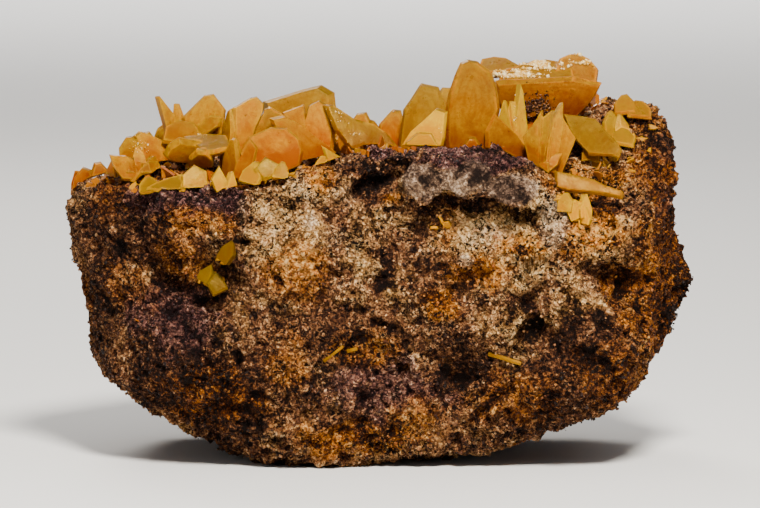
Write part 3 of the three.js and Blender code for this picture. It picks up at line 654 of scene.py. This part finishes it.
def pores(points, sizes):
    """How deep the pores are at each point. They come in spongy areas."""
    total = np.zeros(len(points))
    for order, (cell, depth) in enumerate(sizes):
        sponge = smooth(*SPONGE_FROM_TO, value_noise(points, cell * SPONGE_WIDTH, SPONGE_SEED + order))
        shape = value_noise(warped(points, cell, PORE_SEED + order), cell, PORE_SEED + order)
        total += depth * smooth(*PORE_FROM_TO, shape) * sponge
    return total


def sleek_at(points):
    return patches(points, SLEEK_PATCHES, SLEEK_SEED)


def add_patches(mesh, points):
    """What the rock's colours need to know of its patches. The light value holds painted light and shade as
    well as paler and darker stone.
    """
    wide_rust = WIDE_RUST[1] * smooth(0.2, 0.7, value_noise(points, WIDE_RUST[0], RUST_SEED + 1))
    add_value(mesh, "rust", np.maximum(patches(points, RUST_PATCHES, RUST_SEED), wide_rust))
    dark = patches(points, SHADED_AND_DARKER_PATCHES, DARK_SEED)
    add_value(mesh, "light", patches(points, LIT_AND_PALER_PATCHES, LIGHT_SEED) - dark)
    add_value(mesh, "pale", patches(points, PALE_PATCHES, PALE_SEED))
    add_value(mesh, "sleek", sleek_at(points))
    add_value(mesh, "plum", patches(points, PLUM_PATCHES, PLUM_SEED))


def rock_piece(node):
    """The rock with its forms, then its skin, then what its colours need to know, painted light and shade
    among it. Returns its mesh.
    """
    solid = vertex_points(node.data) / MM
    mesh = remeshed(node.data.copy(), FORM_GRID, FORM_SMOOTHING)
    points = vertex_points(mesh) / MM
    relief = form_push(points)
    for order, (cell, height) in enumerate(FORM_RELIEF):
        relief += height * (crumbs(points, cell, FORM_SEED + order) - 0.5)
    moved = points + vertex_normals(mesh) * relief[:, None]
    set_points(mesh, keep_foot(points, moved) * MM)

    mesh = remeshed(mesh, SKIN_GRID, 0)
    points = vertex_points(mesh) / MM
    normals = vertex_normals(mesh)
    relief = np.zeros(len(points))
    for order, (cell, height) in enumerate(SKIN_RELIEF):
        relief += height * (2 * crumbs(points, cell, SKIN_SEED + order) - 1)
    relief -= pores(points, PORES)
    relief *= 1 - SLEEK_RELIEF_LOSS * sleek_at(points)
    moved = kept_near(solid, points + normals * relief[:, None])
    set_points(mesh, keep_foot(points, moved) * MM)
    mesh = lighter(mesh, ROCK_TRIANGLES)

    points = vertex_points(mesh) / MM
    # Painted shade: the deeper pores and the hollows of the front's forms are darkened as shade would darken
    # them.
    painted_cavity_shade = pores(points, [(cell, 1) for cell, _ in PORES[:2]])
    deep = smooth(*HOLLOW_FROM_TO, -form_push(points))
    # Painted light and shade: by this height the skin's lumps are painted lighter and its valleys darker.
    height = sum(crumbs(points, cell, SKIN_SEED + order) for order, (cell, _) in enumerate(SKIN_RELIEF))
    add_value(mesh, "painted_cavity_shade", np.clip(PORE_PAINTED_SHADE * painted_cavity_shade + HOLLOW_PAINTED_SHADE * deep, 0, 1))
    add_value(mesh, "height", height / len(SKIN_RELIEF))
    add_patches(mesh, points)
    mesh.shade_smooth()
    new_piece("matrix_rock", mesh, rock_material(), "gossan", "matrix")
    return mesh


def unit(rows):
    return rows / np.linalg.norm(rows, axis=1)[:, None]


def random_turns(random, count):
    """A random rotation for each of some things, as 3 by 3 matrices."""
    w, x, y, z = unit(random.normal(size=(count, 4))).T
    rows = [[1 - 2 * (y * y + z * z), 2 * (x * y - z * w), 2 * (x * z + y * w)],
            [2 * (x * y + z * w), 1 - 2 * (x * x + z * z), 2 * (y * z - x * w)],
            [2 * (x * z - y * w), 2 * (y * z + x * w), 1 - 2 * (x * x + y * y)]]
    return np.stack([np.stack(row, axis=1) for row in rows], axis=1)


def scattered(name, places, sizes, random):
    """One mesh of many sharp grains at the places, each with a random shade, and its points in mm."""
    count = len(places)
    corners = GRAIN_CORNERS * random.uniform(0.5, 1.1, (count, 6, 1)) * sizes[:, None, None]
    shapes = np.einsum("nij,nkj->nki", random_turns(random, count), corners)
    points = (places[:, None] + shapes).reshape(-1, 3)
    index = (np.arange(count)[:, None, None] * len(GRAIN_CORNERS) + GRAIN_FACES).reshape(-1, 3)
    mesh = bpy.data.meshes.new(name)
    mesh.vertices.add(len(points))
    mesh.loops.add(index.size)
    mesh.polygons.add(len(index))
    mesh.vertices.foreach_set("co", (points * MM).ravel())
    mesh.loops.foreach_set("vertex_index", index.ravel())
    mesh.polygons.foreach_set("loop_start", np.arange(0, index.size, 3))
    mesh.update(calc_edges=True)
    add_value(mesh, "shade", np.repeat(random.uniform(0, 1, count) ** 2, len(GRAIN_CORNERS)))
    return mesh, points


def grains_piece(rock, name, count, smallest, largest, seed):
    """Grains half sunk in the rock's skin. Most are on its front, sides and top."""
    random = np.random.default_rng(seed)
    points = vertex_points(rock) / MM
    normals = vertex_normals(rock)
    behind = smooth(*GRAIN_BACK_FROM_TO, points[:, 1])
    chance = np.where(points[:, 2] < GRAIN_BARE_FOOT, 0, 1 - GRAIN_BACK_LOSS * behind)
    chance *= GRAIN_FEWEST + smooth(-0.4, 0.5, value_noise(points, GRAIN_CROWDS, GRAIN_SEED))
    chance *= 1 - SLEEK_GRAIN_LOSS * sleek_at(points)
    picked = random.choice(len(points), count, p=chance / chance.sum())
    sizes = smallest + (largest - smallest) * random.uniform(0, 1, count) ** 2
    places = points[picked] + random.normal(0, GRAIN_SCATTER, (count, 3))
    places -= normals[picked] * (sizes * GRAIN_SINK)[:, None]
    mesh, corners = scattered(name, places, sizes, random)
    add_patches(mesh, corners)
    new_piece(name, mesh, grain_material(), "gossan")


# ---------- Crystals ----------
# Painted shade: faces that face the key light, which comes from this direction, are deeper in colour, so that
# it doesn't wash them out.
KEY_LIGHT_DIRECTION = np.array([0.14, -0.68, 0.72])
KEY_FACING_SHADE = 0.42
KEY_FACING_FROM_TO = (0.7, 0.98)
# How much of the tops' painted shade faces that look up take, and how steeply they have to look up for it.
TOP_SHADE_SHARE = 0.85
UP_FROM_TO = (0.45, 0.8)
# Crystals that are lighter or darker than their finish: partly their own tone, partly painted shade, darkest
# for the two in the recess under the rock's undercut, and darker for some that face the key light so that it
# doesn't wash them out.
CRYSTAL_TONE_AND_SHADE = {
    "tall_blade": 0.86, "centre_left_cluster": 1.04, "slanting_blade": 0.78, "ledge_wedge": 0.84,
    "lemon_front_crystals": 0.8, "front_left_strip": 0.9, "hump_sprig": 0.92, "recess_sprig": 0.3,
    "recess_plate": 0.2, "flat_plate": 1.22, "great_rosette": 1.08,
}


def split_long_edges(mesh_edit, longest):
    for _ in range(5):
        long_ones = [edge for edge in mesh_edit.edges if edge.calc_length() > longest]
        if not long_ones:
            return
        bmesh.ops.subdivide_edges(mesh_edit, edges=long_ones, cuts=1, use_grid_fill=False)
        bmesh.ops.triangulate(mesh_edit, faces=mesh_edit.faces[:])


def softened(node, name):
    """The node's solid with bevelled edges, and its flat faces: normal, centre, corners and area."""
    edit = bmesh.new()
    edit.from_mesh(node.data)
    bmesh.ops.remove_doubles(edit, verts=edit.verts[:], dist=SAME_POINT)
    bmesh.ops.dissolve_limit(edit, angle_limit=COPLANAR, verts=edit.verts[:], edges=edit.edges[:])
    outlines = []
    for face in edit.faces:
        corners = [np.array(vertex.co) for vertex in face.verts]
        centre = np.array(face.calc_center_median())
        outlines.append((np.array(face.normal), centre, corners, face.calc_area()))
    sharp = [edge for edge in edit.edges
             if len(edge.link_faces) == 2 and edge.calc_face_angle() > BEVEL_ANGLE]
    bmesh.ops.bevel(edit, geom=sharp, offset=CRYSTAL_BEVEL, segments=1, profile=0.5, affect="EDGES",
                    clamp_overlap=True)
    bmesh.ops.triangulate(edit, faces=edit.faces[:])
    split_long_edges(edit, CRYSTAL_EDGE)
    mesh = bpy.data.meshes.new(name)
    edit.to_mesh(mesh)
    edit.free()
    return mesh, outlines


def face_values(points, outlines, seed):
    """For each point, its distance in mm from its face's rim, and its face's tint."""
    rim = np.zeros(len(points))
    tint = np.zeros(len(points))
    for order, (normal, centre, corners, area) in enumerate(outlines):
        reach = max(np.linalg.norm(corner - centre) for corner in corners)
        near = np.abs((points - centre) @ normal) < ON_FACE
        near &= np.linalg.norm(points - centre, axis=1) < reach
        if not near.any() or area < SMALLEST_FACE:
            continue
        flat = points[near]
        distance = np.full(len(flat), 1.0)
        for start, end in zip(corners, corners[1:] + corners[:1]):
            side = end - start
            along = np.clip(((flat - start) @ side) / max(side @ side, 1e-12), 0, 1)
            distance = np.minimum(distance, np.linalg.norm(flat - start - along[:, None] * side, axis=1))
        rim[near] = np.maximum(rim[near], distance / MM)
        tint[near] = lattice(np.array([order, seed, order * 3]), SEED)
    return rim, tint


def crystal_piece(name, node, material, slot, rock_surface):
    """A CAD cluster with softened edges, and what its colours need to know of its faces, height and foot,
    painted shade included.
    """
    mesh, outlines = softened(node, name)
    points = vertex_points(mesh)
    rim, tint = face_values(points, outlines, len(name))
    wave = sum(height * value_noise(points / MM, cell, WAVE_SEED) for cell, height in CRYSTAL_WAVE)
    set_points(mesh, points + vertex_normals(mesh) * wave[:, None] * MM)
    # Painted shade on faces that face the key light.
    lean = smooth(*KEY_FACING_FROM_TO, vertex_normals(mesh) @ KEY_LIGHT_DIRECTION)
    tone_and_painted_shade = CRYSTAL_TONE_AND_SHADE.get(name, 1) * (FACE_GAIN[0] + FACE_GAIN[1] * tint) * (1 - KEY_FACING_SHADE * lean)
    heights = points[:, 2]
    away = np.array([rock_surface.find_nearest(Vector(point))[3] for point in points]) / MM
    add_value(mesh, "rim", rim)
    add_value(mesh, "tint", tint)
    add_value(mesh, "tone_and_painted_shade", tone_and_painted_shade)
    add_value(mesh, "up", TOP_SHADE_SHARE * smooth(*UP_FROM_TO, vertex_normals(mesh)[:, 2]))
    add_value(mesh, "crown", (heights - heights.min()) / max(np.ptp(heights), MM))
    add_value(mesh, "step", np.floor(rim * GROWTH_STEPS) / GROWTH_STEPS)
    add_value(mesh, "foot", smooth(FOOT_SHADE_REACH, 0, away))
    mesh.shade_smooth()
    mesh.set_sharp_from_angle(angle=SHARP_EDGE)
    new_piece(name + "_crystals", mesh, material, slot, name)


# ---------- Small crystals and sugary crusts ----------
# Where the top's small plates grow: low and high x and y, how far from the front rim they reach their full
# size, the width of their crowds, how bare it is between those, and their sizes.
DRUSE_AREA = ((-47, -18), (37, 25))
DRUSE_RIM = 8
DRUSE_CROWDS = 5.0
DRUSE_GAPS = -0.35
DRUSE_SIZE = (1.2, 2.9)
# How many of each finish there are, and the seed they are drawn from.
DRUSES = {"wulfenite_honey": (330, 31), "wulfenite_amber": (330, 32), "wulfenite_lemon": (160, 33)}
# Small plates on top of the rock, by x and y, and on its front, by x and z. Then how many there are, how far
# they spread, their size, and whether they are on top.
HONEY_SPRAYS = [
    (-44, -7, 8, 2.0, 1.6, True), (-35, -10, 8, 2.4, 1.6, True), (-24, -13, 8, 2.0, 1.6, True),
    (-18, -4, 12, 3.0, 1.8, True), (-4, -6, 14, 3.4, 1.7, True), (3, -9, 8, 2.4, 1.6, True),
    (12, -8, 10, 2.8, 1.7, True), (21, -4, 12, 2.6, 1.8, True), (30, -6, 8, 2.0, 1.6, True),
    (-38, 6, 12, 3.4, 1.7, True), (-20, 12, 12, 4.0, 1.8, True), (4, 13, 12, 4.0, 1.7, True),
    (24, 11, 12, 3.4, 1.8, True), (36, 2, 10, 3.0, 1.5, True),
]
LEMON_SPRAYS = [
    (-14, -19, 5, 1.6, 1.2, True), (-29, -19, 4, 1.6, 1.2, True), (37.8, -11, 12, 1.5, 1.5, True),
    (-26.8, 31.6, 7, 1.1, 1.4, False), (-24.4, 35.4, 5, 0.8, 1.4, False),
    (10.4, 40.4, 4, 0.6, 1.4, False), (32.4, 42.6, 9, 1.2, 1.2, False),
    (43, -8, 8, 2.0, 1.4, True), (29.4, 45.4, 5, 0.6, 1.3, False),
]
SPRAYS = {"wulfenite_honey": (HONEY_SPRAYS, 21), "wulfenite_lemon": (LEMON_SPRAYS, 22)}
# Thin sticks of the same mineral on the rock's front: end to end in x and z, and thickness. The needle lies
# on its top, end to end in x and y. Each is browner at its start.
STICKS = [
    ((18.0, 19.5), (23.2, 18.0), 0.85), ((-8.8, 18.3), (-5.6, 20.8), 0.6), ((-5.0, 19.9), (-3.4, 20.3), 0.7),
]
STICK_SINK = 0.3
STICK_TAPER = 0.8
STICK_GAIN = (0.45, 0.95)
NEEDLE = [(-37.4, -16.8), (-31.4, -15.6)]
NEEDLE_WIDTH = 0.22
NEEDLE_RISE = 0.5
# Sugary white crust on the great rosette: middle x and z, spread along and up, and number of its grains. Then
# the grains' smallest and largest size, and the gaps between them, which are fewer the lower the number is.
FROST_SPOTS = [((22.4, 63.4), (2.2, 0.3), 460), ((26.8, 64.9), (1.8, 0.3), 400), ((34, 66), (0.9, 0.4), 260)]
FROST_SIZE = (0.12, 0.6)
FROST_GAPS = -0.12
FROST_SEED = 1
# The brown sugary hollow in the rosette's front, given as its frost is.
HOLLOW_SPOTS = [((26.3, 57.6), (1.5, 1.1), 900)]
HOLLOW_SIZE = (0.08, 0.36)
HOLLOW_GAPS = -0.5
HOLLOW_SEED = 2
# Pale grains on the edges of each cluster's plates, put where glints of light fall: painted highlights, given
# as the frost is.
GLINT_SPOTS = {
    "left_rosette": [((-39.2, 51.4), (0.7, 1.1), 90)],
    "left_spire_cluster": [((-29.2, 53.2), (0.4, 0.3), 40)],
    "centre_left_cluster": [
        ((-24, 56.4), (0.22, 1.2), 70), ((-17.7, 58), (1.1, 0.25), 60), ((-24, 52.7), (0.5, 0.3), 40),
    ],
    "slanting_blade": [((-7, 56.4), (0.9, 0.9), 50), ((-3.8, 53.2), (0.8, 0.7), 40)],
    "centre_right_front": [((10.8, 53.2), (0.8, 0.5), 60)],
    "cockscomb": [((22.5, 56.9), (0.2, 1.4), 60)],
}
GLINT_SIZE = (0.05, 0.26)
GLINT_GAPS = -0.2
GLINT_SEED = 40
# The width of the bands that sugary grains come in, how those are stretched, how much the lines that place
# the grains sink on their way back, and how much the bands sag from their middle.
SUGAR_BANDS = 1.1
SUGAR_STRETCH = (0.6, 0.6, 2.2)
SUGAR_SINK = 0.1
SUGAR_SAG = 0.1


# Plates and sticks are six-sided. A plate's corners are a share of its size away from its middle, with one of
# them drawn out, and its half thickness is a share of its size. Its corners are off their even places.
PRISM_SIDES = 6
PLATE_REACH = (0.35, 0.62)
PLATE_POINT = 1.5
PLATE_HALF_THICKNESS = (0.07, 0.13)
PLATE_UNEVEN = 0.25
# How much its size varies, how far it leans, how far out of the rock it stands, and how level the rock has to
# be where it stands on top.
PLATE_SIZES = (0.6, 1.25)
PLATE_LEAN = 0.45
PLATE_RISE = 0.2
PLATE_GROUND = 0.3


def tablet(random, size):
    """The corners and faces of a small six-sided plate, uneven, with one pointed side."""
    count = PRISM_SIDES
    turns = np.arange(count) * math.tau / count + random.uniform(-PLATE_UNEVEN, PLATE_UNEVEN, count)
    reach = size * random.uniform(*PLATE_REACH, count)
    reach[1] *= PLATE_POINT
    thick = size * random.uniform(*PLATE_HALF_THICKNESS)
    ring = np.stack([reach * np.cos(turns), np.zeros(count), reach * np.sin(turns)], axis=1)
    return np.concatenate([ring + (0, -thick, 0), ring + (0, thick, 0)]), prism_faces()


def prism_faces():
    """The faces of a prism: its two ends, then its sides."""
    count = PRISM_SIDES
    sides = [(i, (i + 1) % count, (i + 1) % count + count, i + count) for i in range(count)]
    return [tuple(range(count - 1, -1, -1)), tuple(range(count, 2 * count)), *sides]


def spray_lines(spots, random):
    """Lines that meet the rock around each spot, and the size of the plate there."""
    for x, other, count, spread, size, on_top in spots:
        for _ in range(count):
            across, along = random.normal(0, spread, 2)
            if on_top:
                yield (x + across, other + along, TOP_START), DOWN, size
            else:
                yield (x + across, FRONT_START, other + along), TO_BACK, size


def druse_lines(count, random):
    """Lines from above over the rock's top, with plates in patches and lower ones near the front rim."""
    low, high = DRUSE_AREA
    starts = random.uniform((*low, TOP_START), (*high, TOP_START), (count, 3))
    crowd = value_noise(starts * (1, 1, 0), DRUSE_CROWDS, CROWD_SEED)
    for start, close in zip(starts[crowd > DRUSE_GAPS], crowd[crowd > DRUSE_GAPS]):
        rim = smooth(low[1], low[1] + DRUSE_RIM, start[1])
        size = DRUSE_SIZE[0] + (DRUSE_SIZE[1] - DRUSE_SIZE[0]) * rim * smooth(-0.3, 0.7, close)
        yield start, DOWN, size


def plates(lines, surface, random):
    """A small plate that stands in the surface, leaning at random, where each line meets it."""
    for start, line, size in lines:
        hit, normal, _, _ = surface.ray_cast(Vector(start) * MM, Vector(line))
        if hit is None or (line[2] < 0 and normal.z < PLATE_GROUND):
            continue
        corners, sides = tablet(random, size * random.uniform(*PLATE_SIZES))
        lean = (Vector(normal) + Vector(random.normal(0, PLATE_LEAN, 3))).normalized()
        stand = np.array(lean.to_track_quat("Z", "Y").to_matrix())
        twist = random.uniform(0, math.tau)
        cos, sin = math.cos(twist), math.sin(twist)
        turn = np.array([[cos, -sin, 0], [sin, cos, 0], [0, 0, 1]])
        yield corners @ (stand @ turn).T + np.array(hit) / MM + np.array(lean) * size * PLATE_RISE, sides


def plates_piece(name, lines, surface, slot, material, random):
    mesh = mesh_of(name, plates(lines, surface, random))
    count = len(mesh.vertices)
    corners = 2 * PRISM_SIDES
    tint = np.repeat(random.uniform(0, 1, count // corners), corners)
    add_value(mesh, "rim", np.full(count, 0.2))
    add_value(mesh, "tint", tint)
    add_value(mesh, "tone_and_painted_shade", PLATE_GAIN[0] + PLATE_GAIN[1] * tint)
    add_value(mesh, "foot", np.full(count, 0.5))
    new_piece(name, mesh, material, slot)


def sugar_piece(name, host, spots, sizes, gaps, seed, material, slot):
    """Grains where lines from the front, sinking a little, meet the host. They come in broken bands."""
    random = np.random.default_rng(seed)
    surface = surface_of(host)
    line = Vector((0, 1, -SUGAR_SINK))
    places = []
    for (x, z), (wide, high), count in spots:
        for across, up in random.normal(0, 1, (count, 2)):
            height = z - FRONT_START * SUGAR_SINK + up * high - abs(across) * SUGAR_SAG
            hit = surface.ray_cast(Vector((x + across * wide, FRONT_START, height)) * MM, line)[0]
            if hit is not None:
                places.append(hit / MM)
    places = np.array(places)
    places = places[value_noise(places * SUGAR_STRETCH, SUGAR_BANDS, seed) > gaps]
    grains = sizes[0] + np.ptp(sizes) * random.uniform(0, 1, len(places)) ** 2
    mesh, _ = scattered(name, places, grains, random)
    new_piece(name, mesh, material, slot)


def rod(start, end, width):
    """The corners and faces of a six-sided stick between two points. It is thinner at its end."""
    axis = (end - start).normalized()
    side = axis.cross(Vector((0, 1, 0.3))).normalized() * width / 2
    up = axis.cross(side)
    turns = [k * math.tau / PRISM_SIDES for k in range(PRISM_SIDES)]
    ring = [side * math.cos(turn) + up * math.sin(turn) for turn in turns]
    return [start + spoke for spoke in ring] + [end + spoke * STICK_TAPER for spoke in ring], prism_faces()


def sticks_piece(surface, material):
    rods = []
    for *ends, width in STICKS:
        hits = [surface.ray_cast(Vector((x, FRONT_START, z)) * MM, Vector(TO_BACK))[0] / MM for x, z in ends]
        rods.append(rod(*(hit + Vector((0, -width * STICK_SINK, 0)) for hit in hits), width))
    hits = [surface.ray_cast(Vector((x, y, TOP_START)) * MM, Vector(DOWN))[0] / MM for x, y in NEEDLE]
    rods.append(rod(*(hit + Vector((0, 0, NEEDLE_RISE)) for hit in hits), NEEDLE_WIDTH))
    mesh = mesh_of("sticks", rods)
    add_value(mesh, "rim", np.full(len(mesh.vertices), 0.1))
    add_value(mesh, "tone_and_painted_shade", np.tile(np.repeat(STICK_GAIN, PRISM_SIDES), len(rods)))
    new_piece("stick_crystals", mesh, material, "wulfenite_tan")


# ---------- Stage ----------
def soft_light(name, place, size, power, colour, aim=LOOK_AT):
    data = bpy.data.lights.new(name, "AREA")
    data.shape = "DISK"
    data.size = size
    data.energy = power
    data.color = colour
    lamp = bpy.data.objects.new(name, data)
    lamp.location = place
    lamp.rotation_euler = (Vector(aim) - Vector(place)).to_track_quat("-Z", "Y").to_euler()
    bpy.context.scene.collection.objects.link(lamp)
    return lamp


def pale_floor():
    mesh = bpy.data.meshes.new("floor")
    corners = [(-1, -1, 0), (1, -1, 0), (1, 1, 0), (-1, 1, 0)]
    mesh.from_pydata([Vector(corner) * FLOOR_REACH for corner in corners], [], [(0, 1, 2, 3)])
    floor = bpy.data.objects.new("floor", mesh)
    n = Nodes("pale_floor")
    mesh.materials.append(n.finish(Base_Color=FLOOR_COLOUR, Roughness=0.9))
    bpy.context.scene.collection.objects.link(floor)


def studio():
    pale_floor()
    world = bpy.data.worlds.new("studio")
    world.use_nodes = True
    sky = world.node_tree.nodes["Background"].inputs
    sky["Color"].default_value = SKY_COLOUR
    sky["Strength"].default_value = SKY_STRENGTH
    bpy.context.scene.world = world
    for name, light in LIGHTS.items():
        soft_light(name, *light)
    for side, (x, y) in FLOOR_LIGHTS.items():
        lamp = soft_light("floor_" + side, (x, y, FLOOR_LIGHT_HEIGHT), *FLOOR_LIGHT, (x, y, 0))
        lamp.data.spread = FLOOR_LIGHT_SPREAD


def camera():
    data = bpy.data.cameras.new("camera")
    data.sensor_width = SENSOR
    data.lens = SENSOR * CAMERA_DISTANCE / VIEW_WIDTH
    data.clip_start = NEAREST_SEEN
    data.clip_end = FARTHEST_SEEN
    eye = bpy.data.objects.new("camera", data)
    back = Vector((0, -math.cos(ELEVATION), math.sin(ELEVATION)))
    eye.location = LOOK_AT + back * CAMERA_DISTANCE
    eye.rotation_euler = (-back).to_track_quat("-Z", "Y").to_euler()
    bpy.context.scene.collection.objects.link(eye)
    bpy.context.scene.camera = eye


# ---------- The specimen ----------
slots = {part["node"]: part["material_slot"] for part in frame["record"]["subparts"]}
rock = rock_piece(frame["nodes"]["matrix"])
rock_surface = surface_of(rock)
grains_piece(rock, "matrix_grains", *FINE_GRAINS, SEED)
grains_piece(rock, "matrix_crumbs", *COARSE_GRAINS, SEED + COARSE_GRAINS_SEED)
finishes = {slot: crystal_material(slot, *colours) for slot, colours in CRYSTAL_COLOURS.items()}
for node_name, slot_name in slots.items():
    if node_name != "matrix":
        crystal_piece(node_name, frame["nodes"][node_name], finishes[slot_name], slot_name, rock_surface)
for slot_name, (spots, seed) in SPRAYS.items():
    draw = np.random.default_rng(seed)
    piece_name = slot_name.removeprefix("wulfenite_") + "_sprays"
    plates_piece(piece_name, spray_lines(spots, draw), rock_surface, slot_name, finishes[slot_name], draw)
for slot_name, (count, seed) in DRUSES.items():
    draw = np.random.default_rng(seed)
    piece_name = slot_name.removeprefix("wulfenite_") + "_druse"
    plates_piece(piece_name, druse_lines(count, draw), rock_surface, slot_name, finishes[slot_name], draw)
sticks_piece(rock_surface, finishes["wulfenite_tan"])
frost_and_glints = frost_and_glint_material()
# Pale grains as painted highlights on the clusters' plates.
for order, (node_name, spots) in enumerate(GLINT_SPOTS.items()):
    sugar_piece(node_name + "_glints", frame["nodes"][node_name].data, spots, GLINT_SIZE, GLINT_GAPS,
                SEED + GLINT_SEED + order, frost_and_glints, "wulfenite_tan")
rosette = frame["nodes"]["great_rosette"].data
sugar_piece("rosette_frost", rosette, FROST_SPOTS, FROST_SIZE, FROST_GAPS, SEED + FROST_SEED, frost_and_glints,
            "wulfenite_tan")
sugar_piece("rosette_hollow", rosette, HOLLOW_SPOTS, HOLLOW_SIZE, HOLLOW_GAPS, SEED + HOLLOW_SEED,
            grain_material(), "gossan")
studio()
camera()
